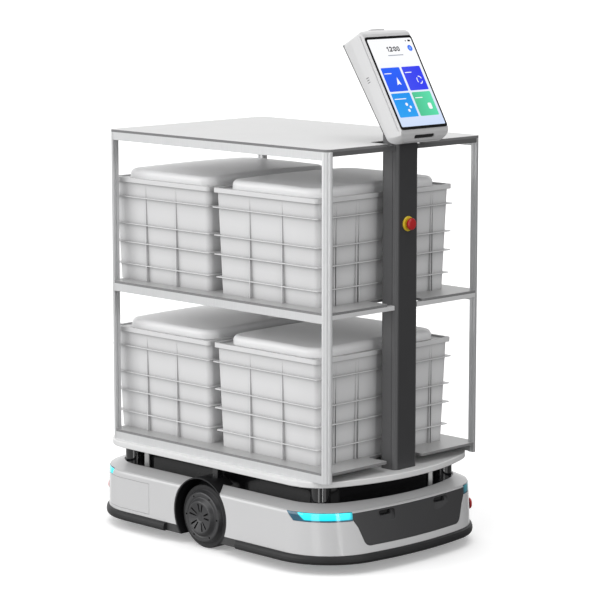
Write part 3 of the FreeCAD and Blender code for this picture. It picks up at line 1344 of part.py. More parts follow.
# hollow below
dish = rplate(hxl - 6, hyl - 6, 40.0, li - 1, li + 10)
lid_shape = main_solid(lid_shape.cut(dish))

PLACES = [
    ("upper_front", "Dims.crate_front_y", "Dims.mid_level + Dims.plate_thick"),
    ("upper_rear", "Dims.crate_rear_y", "Dims.mid_level + Dims.plate_thick"),
    ("lower_front", "Dims.crate_front_y", "Dims.deck_low + Dims.deck_thick + Dims.rail_high + Dims.plate_thick"),
    ("lower_rear", "Dims.crate_rear_y", "Dims.deck_low + Dims.deck_thick + Dims.rail_high + Dims.plate_thick"),
]
for nm, yexp, zexp in PLACES:
    for kind, shp in (("crate_", crate_shape), ("lid_", lid_shape)):
        o = feature(kind + nm, shp)
        o.setExpression("Placement.Base.y", yexp)
        o.setExpression("Placement.Base.z", zexp)
        node(o, kind + nm)

# ------------------------------------------------------------ check and write
doc.recompute()
bad = []
for o in doc.Objects:
    st = [str(q) for q in o.State]
    if "Invalid" in st or "Error" in st:
        bad.append((o.Name, st))
if bad:
    raise RuntimeError("failed objects: %s" % bad)
os.makedirs("parts", exist_ok=True)
total = FreeCAD.BoundBox()
for label, o in NODES:
    sh = o.Shape
    if sh.isNull() or not sh.isValid():
        raise RuntimeError("bad shape: " + label)
    if len(sh.Solids) < 1 or sh.Volume < 10:
        raise RuntimeError("no solid: " + label)
    total.add(sh.BoundBox)
for label, o in NODES:
    sh = o.Shape
    bb = sh.BoundBox
    print("%-22s solids %2d  vol %10.0f  X %.1f..%.1f Y %.1f..%.1f Z %.1f..%.1f" % (
        label, len(sh.Solids), sh.Volume, bb.XMin, bb.XMax, bb.YMin, bb.YMax, bb.ZMin, bb.ZMax))
    sh.exportStep("parts/%s.step" % label)
print("nodes", len(NODES), "box X %.1f..%.1f Y %.1f..%.1f Z %.1f..%.1f" % (total.XMin, total.XMax, total.YMin, total.YMax, total.ZMin, total.ZMax))
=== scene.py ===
import bpy
import bmesh
import json
import math
from mathutils import Matrix, Vector

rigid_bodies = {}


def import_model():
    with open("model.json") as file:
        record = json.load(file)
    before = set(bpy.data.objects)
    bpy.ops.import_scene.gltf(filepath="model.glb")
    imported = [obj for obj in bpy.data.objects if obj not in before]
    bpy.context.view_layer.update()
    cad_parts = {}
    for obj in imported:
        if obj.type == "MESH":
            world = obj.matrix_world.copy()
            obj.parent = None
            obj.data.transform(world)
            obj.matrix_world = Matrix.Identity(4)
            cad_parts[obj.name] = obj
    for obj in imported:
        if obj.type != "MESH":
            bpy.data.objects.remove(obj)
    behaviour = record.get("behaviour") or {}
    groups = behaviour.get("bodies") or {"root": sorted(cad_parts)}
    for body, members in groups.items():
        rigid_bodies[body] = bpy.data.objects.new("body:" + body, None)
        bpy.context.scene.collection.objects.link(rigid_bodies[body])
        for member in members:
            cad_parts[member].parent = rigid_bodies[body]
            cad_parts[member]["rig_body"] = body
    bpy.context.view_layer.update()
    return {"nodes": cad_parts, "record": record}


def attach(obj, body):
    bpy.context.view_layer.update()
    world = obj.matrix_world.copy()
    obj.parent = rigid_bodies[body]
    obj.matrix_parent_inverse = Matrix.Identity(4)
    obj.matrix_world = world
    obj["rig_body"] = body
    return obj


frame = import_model()
NODES = frame["nodes"]
scene = bpy.context.scene


# ------------------------------------------------------------------ node tools
def new_mat(name):
    m = bpy.data.materials.new(name)
    m.use_nodes = True
    nt = m.node_tree
    for n in list(nt.nodes):
        nt.nodes.remove(n)
    out = nt.nodes.new("ShaderNodeOutputMaterial")
    b = nt.nodes.new("ShaderNodeBsdfPrincipled")
    nt.links.new(b.outputs["BSDF"], out.inputs["Surface"])
    return m, nt, b


def tex_coord(nt, scale=(1, 1, 1)):
    t = nt.nodes.new("ShaderNodeTexCoord")
    mp = nt.nodes.new("ShaderNodeMapping")
    mp.inputs["Scale"].default_value = scale
    nt.links.new(t.outputs["Object"], mp.inputs["Vector"])
    return mp.outputs["Vector"]


def noise(nt, vec, scale, detail=3.0, rough=0.55):
    n = nt.nodes.new("ShaderNodeTexNoise")
    n.inputs["Scale"].default_value = scale
    n.inputs["Detail"].default_value = detail
    n.inputs["Roughness"].default_value = rough
    nt.links.new(vec, n.inputs["Vector"])
    return n.outputs["Fac"]


def ramp(nt, fac, stops):
    r = nt.nodes.new("ShaderNodeValToRGB")
    while len(r.color_ramp.elements) < len(stops):
        r.color_ramp.elements.new(0.5)
    for e, (p, c) in zip(r.color_ramp.elements, stops):
        e.position = p
        e.color = (c[0], c[1], c[2], 1.0)
    nt.links.new(fac, r.inputs["Fac"])
    return r.outputs["Color"]


def rng(nt, fac, a, b):
    r = nt.nodes.new("ShaderNodeMapRange")
    r.inputs["From Min"].default_value = 0.0
    r.inputs["From Max"].default_value = 1.0
    r.inputs["To Min"].default_value = a
    r.inputs["To Max"].default_value = b
    nt.links.new(fac, r.inputs["Value"])
    return r.outputs["Result"]


def bump(nt, height, strength, distance, normal=None):
    b = nt.nodes.new("ShaderNodeBump")
    b.inputs["Strength"].default_value = strength
    b.inputs["Distance"].default_value = distance
    nt.links.new(height, b.inputs["Height"])
    if normal is not None:
        nt.links.new(normal, b.inputs["Normal"])
    return b.outputs["Normal"]


def soft_edge(nt, radius, samples=8):
    b = nt.nodes.new("ShaderNodeBevel")
    b.samples = samples
    b.inputs["Radius"].default_value = radius
    return b.outputs["Normal"]


def mix_col(nt, fac, a, b):
    m = nt.nodes.new("ShaderNodeMix")
    m.data_type = "RGBA"
    nt.links.new(fac, m.inputs[0])
    for sock, v in ((m.inputs[6], a), (m.inputs[7], b)):
        if isinstance(v, (tuple, list)):
            sock.default_value = (v[0], v[1], v[2], 1.0)
        else:
            nt.links.new(v, sock)
    return m.outputs[2]


def obj_xyz(nt):
    t = nt.nodes.new("ShaderNodeTexCoord")
    sep = nt.nodes.new("ShaderNodeSeparateXYZ")
    nt.links.new(t.outputs["Object"], sep.inputs[0])
    return sep.outputs


def math_node(nt, op, a, b=0.0, c=0.0):
    m = nt.nodes.new("ShaderNodeMath")
    m.operation = op
    for sock, v in zip(m.inputs, (a, b, c)):
        if isinstance(v, (int, float)):
            sock.default_value = v
        else:
            nt.links.new(v, sock)
    return m.outputs[0]


def step_range(nt, val, lo, hi):
    """0 below lo, 1 above hi, straight between."""
    r = nt.nodes.new("ShaderNodeMapRange")
    r.clamp = True
    r.inputs["From Min"].default_value = lo
    r.inputs["From Max"].default_value = hi
    nt.links.new(val, r.inputs["Value"])
    return r.outputs["Result"]


def base_link(nt, b):
    return b.inputs["Base Color"].links[0].from_socket


def shade(c, k):
    return tuple(max(0.0, min(1.0, v * k)) for v in c)


def surface(name, col, vary=0.03, rough=0.4, rvary=0.06, metal=0.0, bump_scale=900.0, bump_h=0.00004,
            bump_strength=0.25, coat=0.0, coat_rough=0.1, spec=0.5, grain=(1, 1, 1), big=6.0, edge=0.0, painted_shade=0.0, ao_dist=0.02, painted_shade_col=0.55):
    """A general moulded, painted or anodised surface: slow and fine colour
    drift, uneven gloss, a fine grain in the height, and softened edges.
    The optional crevice darkening is painted shade: it darkens the colour
    in crevices, recesses and under ribs where ambient occlusion finds nearby surfaces."""
    m, nt, b = new_mat(name)
    v = tex_coord(nt, grain)
    slow = noise(nt, v, big, 3.0)
    fine = noise(nt, v, bump_scale * 0.35, 2.0)
    c = ramp(nt, slow, [(0.32, shade(col, 1 - vary)), (0.68, shade(col, 1 + vary))])
    c2 = mix_col(nt, rng(nt, fine, 0.0, 0.35), c, shade(col, 1 - 1.6 * vary))
    # painted shade: where ambient occlusion finds nearby surfaces (crevices, slots, under ribs) the colour is
    # darkened towards a darker copy of itself
    if painted_shade > 0:
        ao = nt.nodes.new("ShaderNodeAmbientOcclusion")
        ao.samples = 8
        ao.inputs["Distance"].default_value = ao_dist
        inv = rng(nt, ao.outputs["AO"], painted_shade, 0.0)
        c2 = mix_col(nt, inv, c2, shade(col, painted_shade_col))
    nt.links.new(c2, b.inputs["Base Color"])
    nt.links.new(rng(nt, noise(nt, v, big * 9, 4.0), rough - rvary, rough + rvary), b.inputs["Roughness"])
    b.inputs["Metallic"].default_value = metal
    b.inputs["Specular IOR Level"].default_value = spec
    if coat > 0:
        b.inputs["Coat Weight"].default_value = coat
        b.inputs["Coat Roughness"].default_value = coat_rough
    n = soft_edge(nt, edge) if edge > 0 else None
    n = bump(nt, noise(nt, v, bump_scale, 2.0, 0.6), bump_strength, bump_h, n)
    nt.links.new(n, b.inputs["Normal"])
    return m


MAT = {}
MAT["shell_paint"] = surface("m_shell_paint", (0.60, 0.60, 0.605), vary=0.008, rough=0.29, rvary=0.006, bump_scale=700, bump_h=0.00002,
                             bump_strength=0.2, coat=0.4, coat_rough=0.14, edge=0.0014)
MAT["charcoal"] = surface("m_charcoal", (0.046, 0.046, 0.048), vary=0.05, rough=0.40, rvary=0.05, bump_scale=1400, bump_h=0.00004, edge=0.0012, spec=0.5)
MAT["lens_black"] = surface("m_lens_black", (0.006, 0.006, 0.007), vary=0.1, rough=0.12, rvary=0.03, bump_scale=300, bump_h=0.00001, coat=0.6, coat_rough=0.05)
MAT["dark_plastic"] = surface("m_dark_plastic", (0.040, 0.040, 0.041), vary=0.06, rough=0.55, rvary=0.05, bump_scale=1800, bump_h=0.00005, edge=0.0008)
MAT["bumper_rubber"] = surface("m_bumper_rubber", (0.016, 0.016, 0.017), vary=0.10, rough=0.50, rvary=0.07, bump_scale=1600, bump_h=0.00008, bump_strength=0.4, spec=0.35)
MAT["black_plastic"] = surface("m_black_plastic", (0.010, 0.010, 0.011), vary=0.08, rough=0.35, rvary=0.05, bump_scale=1500, bump_h=0.00004, spec=0.4)
MAT["cover_black"] = surface("m_cover_black", (0.008, 0.008, 0.009), vary=0.05, rough=0.16, rvary=0.03, bump_scale=400, bump_h=0.00001, coat=0.15, coat_rough=0.06, spec=0.32)
MAT["frame_steel"] = surface("m_frame_steel", (0.05, 0.05, 0.055), vary=0.08, rough=0.5, rvary=0.08, metal=0.2, bump_scale=1100, bump_h=0.00006, edge=0.0008)
MAT["deck_white"] = surface("m_deck_white", (0.72, 0.72, 0.72), vary=0.01, rough=0.35, rvary=0.04, bump_scale=900, bump_h=0.00003, edge=0.0015)
MAT["battery"] = surface("m_battery", (0.06, 0.065, 0.075), vary=0.06, rough=0.45, bump_scale=1200, bump_h=0.00005, edge=0.001)
MAT["motor"] = surface("m_motor", (0.03, 0.03, 0.032), vary=0.06, rough=0.4, metal=0.4, bump_scale=1200, bump_h=0.00005, edge=0.0008)
MAT["tyre"] = surface("m_tyre", (0.020, 0.020, 0.021), vary=0.12, rough=0.66, rvary=0.08, bump_scale=1500, bump_h=0.00012, bump_strength=0.5, edge=0.0008, spec=0.4)
# painted shade: the crevice darkening darkens the hub's slots and recesses
MAT["wheel_grey"] = surface("m_wheel_grey", (0.036, 0.036, 0.038), vary=0.06, rough=0.30, rvary=0.05, bump_scale=1400, bump_h=0.00005, edge=0.0012, painted_shade=0.95, ao_dist=0.008, painted_shade_col=0.1)
MAT["zinc"] = surface("m_zinc", (0.55, 0.56, 0.58), vary=0.06, rough=0.3, metal=1.0, bump_scale=800, bump_h=0.00003, edge=0.0006)
MAT["caster_tread"] = surface("m_caster_tread", (0.07, 0.07, 0.075), vary=0.08, rough=0.5, bump_scale=1300, bump_h=0.00006)
MAT["plate_grey"] = surface("m_plate_grey", (0.60, 0.60, 0.60), vary=0.015, rough=0.33, rvary=0.04, bump_scale=1000, bump_h=0.00003, edge=0.0006)
MAT["stop_yellow"] = surface("m_stop_yellow", (0.85, 0.60, 0.02), vary=0.03, rough=0.3, coat=0.3, bump_scale=900, bump_h=0.00002, edge=0.0004)
# painted shade: the crevice darkening darkens the button's recess and its edges
MAT["stop_red"] = surface("m_stop_red", (0.50, 0.010, 0.012), vary=0.04, rough=0.32, coat=0.25, bump_scale=900, bump_h=0.00002, edge=0.0006, painted_shade=0.8, ao_dist=0.006, painted_shade_col=0.3)
# painted shade: the crevice darkening darkens the crate below each rib and in its corners, standing in for the
# ribs' shadows
MAT["crate_plastic"] = surface("m_crate_plastic", (0.72, 0.72, 0.725), vary=0.012, rough=0.42, rvary=0.05, bump_scale=1000, bump_h=0.00004, edge=0.0008, painted_shade=1.0, ao_dist=0.03, painted_shade_col=0.42)
MAT["screen_glass"] = surface("m_screen_glass", (0.004, 0.004, 0.005), vary=0.05, rough=0.07, rvary=0.02, bump_scale=200, bump_h=0.000004, coat=0.8, coat_rough=0.03)


def alloy_material():
    m, nt, b = new_mat("m_alloy")
    v = tex_coord(nt, (90, 90, 1.2))
    lines = noise(nt, v, 14.0, 4.0, 0.6)
    plain = tex_coord(nt)
    c = ramp(nt, lines, [(0.3, (0.60, 0.605, 0.61)), (0.7, (0.67, 0.675, 0.68))])
    nt.links.new(c, b.inputs["Base Color"])
    b.inputs["Metallic"].default_value = 0.55
    nt.links.new(rng(nt, lines, 0.30, 0.42), b.inputs["Roughness"])
    n = soft_edge(nt, 0.0008)
    nt.links.new(bump(nt, noise(nt, plain, 1300.0, 2.0), 0.15, 0.00003, n), b.inputs["Normal"])
    return m


MAT["alloy"] = alloy_material()


def light_material():
    """Lit cyan lens: bright along its middle, with dark clear ends and a dark
    lower edge where the light guide stops. The front lens on +X is dimmed as painted shade."""
    m, nt, b = new_mat("m_light_cyan")
    xyz = obj_xyz(nt)
    ax = math_node(nt, "ABSOLUTE", xyz["X"])
    ay = math_node(nt, "ABSOLUTE", xyz["Y"])
    z = xyz["Z"]
    front = math_node(nt, "LESS_THAN", xyz["Y"], 0.0)
    # distance from the slanted end on the side of the base
    lean = math_node(nt, "MULTIPLY", math_node(nt, "SUBTRACT", 0.1665, z), 1.02)
    end = math_node(nt, "SUBTRACT", math_node(nt, "SUBTRACT", ay, 0.355), lean)
    end_on = step_range(nt, end, 0.007, 0.013)
    end_on = math_node(nt, "MAXIMUM", end_on, math_node(nt, "SUBTRACT", 1.0, front))
    low_on = step_range(nt, z, 0.1455, 0.1485)
    top_on = step_range(nt, z, 0.1663, 0.1648)
    inner = step_range(nt, ax, 0.2215, 0.232)
    n = noise(nt, tex_coord(nt), 60.0, 2.0)
    glow = math_node(nt, "MULTIPLY", math_node(nt, "MULTIPLY", end_on, low_on), math_node(nt, "MULTIPLY", top_on, rng(nt, inner, 0.35, 1.0)))
    # painted shade: the front lens on +X glows at only 14 % of the others, standing in for its darker look when
    # seen edge-on
    right = math_node(nt, "MULTIPLY", math_node(nt, "GREATER_THAN", xyz["X"], 0.0), front)
    glow = math_node(nt, "MULTIPLY", glow, math_node(nt, "SUBTRACT", 1.0, math_node(nt, "MULTIPLY", right, 0.86)))
    body = ramp(nt, n, [(0.3, (0.012, 0.085, 0.14)), (0.7, (0.02, 0.12, 0.19))])
    lit_c = ramp(nt, step_range(nt, z, 0.146, 0.166), [(0.0, (0.0, 0.58, 0.74)), (0.45, (0.015, 0.80, 0.92)), (1.0, (0.03, 0.86, 0.95))])
    c = mix_col(nt, glow, body, lit_c)
    nt.links.new(c, b.inputs["Base Color"])
    nt.links.new(mix_col(nt, glow, (0.0, 0.0, 0.0), lit_c), b.inputs["Emission Color"])
    b.inputs["Emission Strength"].default_value = 0.62
    nt.links.new(rng(nt, n, 0.10, 0.16), b.inputs["Roughness"])
    b.inputs["Coat Weight"].default_value = 0.6
    b.inputs["Coat Roughness"].default_value = 0.05
    nt.links.new(bump(nt, noise(nt, tex_coord(nt), 500.0, 2.0), 0.15, 0.00003), b.inputs["Normal"])
    return m


MAT["light_cyan"] = light_material()

def principled(m):
    return m.node_tree, next(n for n in m.node_tree.nodes if n.type == "BSDF_PRINCIPLED")


def edged_plate(name, top, edge_col, z_edge=0.5):
    """Coated sheet with a darker cut edge all round."""
    m = surface(name, top, vary=0.015, rough=0.36, rvary=0.04, bump_scale=1000, bump_h=0.00003, spec=0.4)
    nt, b = principled(m)
    g = nt.nodes.new("ShaderNodeNewGeometry")
    sep = nt.nodes.new("ShaderNodeSeparateXYZ")
    nt.links.new(g.outputs["True Normal"], sep.inputs[0])
    up = math_node(nt, "ABSOLUTE", sep.outputs["Z"])
    side = math_node(nt, "LESS_THAN", up, z_edge)
    nt.links.new(mix_col(nt, side, base_link(nt, b), edge_col), b.inputs["Base Color"])
    return m


MAT_NODE = {}
MAT_NODE["top_shelf"] = edged_plate("m_plate_top", (0.57, 0.57, 0.57), (0.20, 0.20, 0.203))
# the mid and bottom plates get a darker grey than the top plate: painted shade from the shelves and crates above
# them
MAT_NODE["mid_shelf"] = edged_plate("m_plate_mid", (0.42, 0.42, 0.42), (0.22, 0.22, 0.223))
MAT_NODE["bottom_shelf"] = edged_plate("m_plate_low", (0.42, 0.42, 0.42), (0.22, 0.22, 0.223))


def cross_rail_material():
    """Bare rails, with the dark coated one across the top at the front."""
    m = surface("m_cross_rails", (0.78, 0.78, 0.785), vary=0.02, rough=0.38, rvary=0.05, metal=0.3, bump_scale=900, bump_h=0.00003, edge=0.0006)
    nt, b = principled(m)
    xyz = obj_xyz(nt)
    top = step_range(nt, xyz["Z"], 1.0, 1.001)
    front = step_range(nt, xyz["Y"], -0.40, -0.401)
    sel = math_node(nt, "MULTIPLY", top, front)
    nt.links.new(mix_col(nt, sel, base_link(nt, b), (0.15, 0.15, 0.152)), b.inputs["Base Color"])
    return m


MAT_NODE["cross_rails"] = cross_rail_material()


def collar_material():
    """Yellow collar on the column, dark red ones on the base."""
    m = surface("m_collars", (0.10, 0.012, 0.014), vary=0.04, rough=0.3, coat=0.3, bump_scale=900, bump_h=0.00002, edge=0.0004)
    nt, b = principled(m)
    high = step_range(nt, obj_xyz(nt)["Z"], 0.5, 0.51)
    nt.links.new(mix_col(nt, high, base_link(nt, b), (0.83, 0.60, 0.03)), b.inputs["Base Color"])
    return m


MAT_NODE["estop_collars"] = collar_material()

def shell_material():
    """Painted shell whose up-facing faces, the inward-leaning top rim, are darkened to a grey as painted shade
    from the deck above.
    """
    m = surface("m_shell_body", (0.60, 0.60, 0.605), vary=0.008, rough=0.29, rvary=0.006, bump_scale=700, bump_h=0.00002,
                bump_strength=0.2, coat=0.4, coat_rough=0.14, edge=0.0014)
    nt, b = principled(m)
    g = nt.nodes.new("ShaderNodeNewGeometry")
    sep = nt.nodes.new("ShaderNodeSeparateXYZ")
    nt.links.new(g.outputs["True Normal"], sep.inputs[0])
    # painted shade: faces that point up are darkened towards a darker grey, standing in for the deck's shadow on
    # the rim
    top = step_range(nt, sep.outputs["Z"], 0.30, 0.62)
    nt.links.new(mix_col(nt, top, base_link(nt, b), (0.40, 0.40, 0.403)), b.inputs["Base Color"])
    return m


MAT_NODE["front_shell"] = shell_material()
MAT_NODE["rear_shell"] = MAT_NODE["front_shell"]
MAT_NODE["rear_panel"] = MAT_NODE["front_shell"]


def column_material():
    """Anodised column: dark front; the lighter side strips are a painted reflection of the light from the sides.
    """
    m = surface("m_column", (0.040, 0.040, 0.042), vary=0.05, rough=0.38, rvary=0.05, bump_scale=1400, bump_h=0.00004, edge=0.0012)
    nt, b = principled(m)
    xyz = obj_xyz(nt)
    ax = math_node(nt, "ABSOLUTE", xyz["X"])
    # painted reflection: the side faces and their strips are lightened towards a brighter grey, standing in for
    # the side light they reflect
    side = step_range(nt, ax, 0.0325, 0.0385)
    face = step_range(nt, ax, 0.0429, 0.0434)
    painted_side_sheen = math_node(nt, "ADD", math_node(nt, "MULTIPLY", side, 0.65), math_node(nt, "MULTIPLY", face, 0.35))
    nt.links.new(mix_col(nt, painted_side_sheen, base_link(nt, b), (0.115, 0.115, 0.118)), b.inputs["Base Color"])
    return m


MAT_NODE["column"] = column_material()
# the lids are made much lighter than the crate plastic: painted light on their tops, which sit in the shade of
# the shelves
LID_PAINTED_LIGHT = surface("m_lid_plastic", (0.90, 0.90, 0.905), vary=0.010, rough=0.38, rvary=0.05, bump_scale=1000, bump_h=0.00004, edge=0.0025)
for q in ("upper_front", "upper_rear", "lower_front", "lower_rear"):
    MAT_NODE["lid_" + q] = LID_PAINTED_LIGHT

MAT_NODE["deck_pillars"] = surface("m_pillars", (0.007, 0.007, 0.008), vary=0.06, rough=0.13, rvary=0.03, bump_scale=300, bump_h=0.000006, spec=0.5, coat=0.8, coat_rough=0.05)

slot_of = {s["node"]: s["material_slot"] for s in frame["record"]["subparts"]}
for name, o in NODES.items():
    o.data.materials.clear()
    o.data.materials.append(MAT_NODE.get(name) or MAT[slot_of[name]])


# ------------------------------------------------------------------ mesh tools
def prism(bm, loop, n0, n1, holes=None):
    """Closed plate from an outline (u, v) between two heights, in mm."""
    lo = [bm.verts.new((u * 0.001, v * 0.001, n0 * 0.001)) for u, v in loop]
    hi = [bm.verts.new((u * 0.001, v * 0.001, n1 * 0.001)) for u, v in loop]
    k = len(loop)
    if holes is None:
        bm.faces.new(hi)
        bm.faces.new(list(reversed(lo)))
        for i in range(k):
            j = (i + 1) % k
            bm.faces.new((lo[i], lo[j], hi[j], hi[i]))
        return
    lo2 = [bm.verts.new((u * 0.001, v * 0.001, n0 * 0.001)) for u, v in holes]
    hi2 = [bm.verts.new((u * 0.001, v * 0.001, n1 * 0.001)) for u, v in holes]
    for i in range(k):
        j = (i + 1) % k
        bm.faces.new((lo[i], lo[j], hi[j], hi[i]))
        bm.faces.new((lo2[j], lo2[i], hi2[i], hi2[j]))
        bm.faces.new((hi[i], hi[j], hi2[j], hi2[i]))
        bm.faces.new((lo[j], lo[i], lo2[i], lo2[j]))


def round_rect(u0, v0, u1, v1, r, segs=6):
    pts = []
    for cx, cy, a0 in ((u1 - r, v0 + r, -90), (u1 - r, v1 - r, 0), (u0 + r, v1 - r, 90), (u0 + r, v0 + r, 180)):
        for i in range(segs + 1):
            a = math.radians(a0 + 90.0 * i / segs)
            pts.append((cx + r * math.cos(a), cy + r * math.sin(a)))
    return pts


def disc(cu, cv, r, k=40):
    return [(cu + r * math.cos(2 * math.pi * i / k), cv + r * math.sin(2 * math.pi * i / k)) for i in range(k)]


def stroke(path, w):
    """Outline of a thick open path with mitred turns."""
    left, right = [], []
    for i, (x, y) in enumerate(path):
        dirs = []
        if i > 0:
            d = Vector((x - path[i - 1][0], y - path[i - 1][1])).normalized()
            dirs.append(d)
        if i < len(path) - 1:
            d = Vector((path[i + 1][0] - x, path[i + 1][1] - y)).normalized()
            dirs.append(d)
        t = sum(dirs, Vector((0, 0))).normalized()
        n = Vector((-t.y, t.x))
        m = w / 2 / max(0.4, n.dot(Vector((-dirs[0].y, dirs[0].x))))
        left.append((x + n.x * m, y + n.y * m))
        right.append((x - n.x * m, y - n.y * m))
    return list(reversed(left)) + right


def new_piece(name, bm, material, body, world=None, smooth=False):
    bmesh.ops.recalc_face_normals(bm, faces=bm.faces[:])
    me = bpy.data.meshes.new(name)
    bm.to_mesh(me)
    bm.free()
    if smooth:
        for p in me.polygons:
            p.use_smooth = True
    o = bpy.data.objects.new(name, me)
    if world is not None:
        o.matrix_world = world
    scene.collection.objects.link(o)
    me.materials.append(material)
    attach(o, body)
    return o


# -------------------------------------------------------------- screen content
HEAD_BODY = NODES["screen_panel"]["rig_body"]
HEAD = Matrix(((1, 0, 0, 0.0), (0, 0.5030, -0.8643, -0.5174), (0, 0.8643, 0.5030, 1.1722), (0, 0, 0, 1)))


def srgb(r, g, b):
    def lin(v):
        v /= 255.0
        return v / 12.92 if v <= 0.04045 else ((v + 0.055) / 1.055) ** 2.4
    return (lin(r), lin(g), lin(b))


def lit(name, c0, c1, lo, hi, axis="Y", strength=1.0):
    """Lit picture area behind glass: a colour run along one axis with the
    slightest unevenness, as a backlight has."""
    m, nt, b = new_mat(name)
    xyz = obj_xyz(nt)
    wob = rng(nt, noise(nt, tex_coord(nt), 30.0, 2.0), -0.04, 0.04)
    f = math_node(nt, "ADD", step_range(nt, xyz[axis], lo, hi), wob)
    c = ramp(nt, f, [(0.0, c0), (1.0, c1)])
    b.inputs["Base Color"].default_value = (0.01, 0.01, 0.012, 1)
    nt.links.new(c, b.inputs["Emission Color"])
    b.inputs["Emission Strength"].default_value = strength
    nt.links.new(rng(nt, noise(nt, tex_coord(nt), 200.0, 2.0), 0.08, 0.14), b.inputs["Roughness"])
    b.inputs["Specular IOR Level"].default_value = 0.3
    return m


UI_WHITE = lit("m_ui_white", srgb(248, 250, 255), srgb(255, 255, 255), 0.0, 0.26)
UI_BLACK = lit("m_ui_black", srgb(12, 12, 16), srgb(20, 20, 26), 0.0, 0.26)
UI_GREY = lit("m_ui_grey", srgb(150, 154, 165), srgb(165, 170, 180), 0.0, 0.26)

bm = bmesh.new()
prism(bm, round_rect(-83.8, 6.6, 84.6, 263.0, 4.0), 0.05, 0.15)
new_piece("screen_picture", bm, lit("m_ui_picture", srgb(206, 222, 250), srgb(252, 253, 255), 0.005, 0.20), HEAD_BODY, HEAD)

# painted strips that close the side walls just behind the front rim; they
# follow the housing's rounded upper and lower corners
def side_drop(v):
    if v > 275.0:
        return 15.0 - math.sqrt(max(0.0, 225.0 - (v - 275.0) ** 2))
    if v < 2.5:
        return 31.0 - math.sqrt(961.0 - (2.5 - v) ** 2)
    return 0.0


bm = bmesh.new()
for sx in (-1, 1):
    rings = []
    for v in (-2.0, 0.0, 2.5, 60.0, 120.0, 180.0, 240.0, 275.0, 277.5, 280.0, 282.5, 285.0):
        d = side_drop(v)
        sec = [(91.34, -6.6), (91.60, -10.0), (89.6, -10.0), (89.6, -6.6)]
        rings.append([bm.verts.new((sx * (x - d) * 0.001, v * 0.001, n * 0.001)) for x, n in sec])
    bm.faces.new(rings[0])
    bm.faces.new(list(reversed(rings[-1])))
    for lo, hi in zip(rings, rings[1:]):
        for a in range(4):
            c = (a + 1) % 4
            bm.faces.new((lo[a], hi[a], hi[c], lo[c]))
new_piece("head_side_strips", bm, MAT["shell_paint"], HEAD_BODY, HEAD)

# three short dark slots on each side of the head
bm = bmesh.new()
for sx in (-1, 1):
    for v in (157.5, 164.0, 170.5):
        corners = [(-43.0, v - 0.9), (-34.0, v - 0.9), (-34.0, v + 0.9), (-43.0, v + 0.9)]
        wall = [91.4 + 0.0923 * (-n - 7.0) for n, _ in corners]
        lo = [bm.verts.new((sx * (w - 0.8) * 0.001, c[1] * 0.001, c[0] * 0.001)) for w, c in zip(wall, corners)]
        hi = [bm.verts.new((sx * (w + 0.06) * 0.001, c[1] * 0.001, c[0] * 0.001)) for w, c in zip(wall, corners)]
        bm.faces.new(lo)
        bm.faces.new(list(reversed(hi)))
        for a in range(4):
            c = (a + 1) % 4
            bm.faces.new((lo[a], hi[a], hi[c], lo[c]))
new_piece("head_side_slots", bm, MAT["dark_plastic"], HEAD_BODY, HEAD)

bm = bmesh.new()
prism(bm, round_rect(-90.2, -1.6, 90.2, 270.6, 8.0, 8), -0.6, 0.22, round_rect(-83.8, 6.6, 84.6, 263.0, 4.0, 8))
bezel_mat = surface("m_screen_bezel", (0.003, 0.003, 0.0035), vary=0.1, rough=0.12, rvary=0.02, bump_scale=200, bump_h=0.000004, spec=0.3)
new_piece("screen_bezel", bm, bezel_mat, HEAD_BODY, HEAD)

# four coloured tiles
TILES = {
    "a": (-76.0, 108.8, -4.6, 178.8, srgb(32, 86, 240), srgb(30, 96, 250)),
    "b": (3.2, 108.8, 74.8, 178.8, srgb(60, 72, 240), srgb(44, 56, 240)),
    "c": (-76.0, 33.6, -4.6, 103.6, srgb(38, 160, 242), srgb(22, 146, 240)),
    "d": (3.2, 33.6, 74.8, 103.6, srgb(78, 196, 146), srgb(92, 222, 172)),
}
for k, (u0, v0, u1, v1, c0, c1) in TILES.items():
    bm = bmesh.new()
    prism(bm, round_rect(u0, v0, u1, v1, 3.2), 0.15, 0.25)
    ax = ("X", u0 * 0.001, u1 * 0.001) if k in "bd" else ("Y", v0 * 0.001, v1 * 0.001)
    new_piece("screen_tile_" + k, bm, lit("m_ui_tile_" + k, c0, c1, ax[1], ax[2], ax[0]), HEAD_BODY, HEAD)

bm = bmesh.new()
# label bars, one short and one long
for u0, v, w in ((-70, 160.4, 27), (9.5, 160.4, 25), (-70, 85.6, 44), (9.5, 85.6, 28)):
    prism(bm, round_rect(u0, v, u0 + w, v + 2.4, 1.1, 4), 0.25, 0.33)
# tile a: arrow; b: open ring; c: three discs; d: rounded square with a bar
prism(bm, [(-37, 127), (-29, 130.5), (-21, 127), (-29, 150)], 0.25, 0.33)
for a0 in (20, 140, 260):
    path = [(54 + 9.2 * math.cos(math.radians(a0 + t)), 138 + 10.5 * math.sin(math.radians(a0 + t))) for t in range(0, 88, 8)]
    prism(bm, stroke(path, 2.7), 0.25, 0.33)
for cu, cv, r in ((-32.5, 70.5, 4.6), (-21.5, 62.0, 3.8), (-31.5, 52.5, 4.2)):
    prism(bm, disc(cu, cv, r, 28), 0.25, 0.33)
prism(bm, round_rect(46.5, 52.0, 60.5, 70.0, 4.4), 0.25, 0.33)
new_piece("screen_marks", bm, UI_WHITE, HEAD_BODY, HEAD)

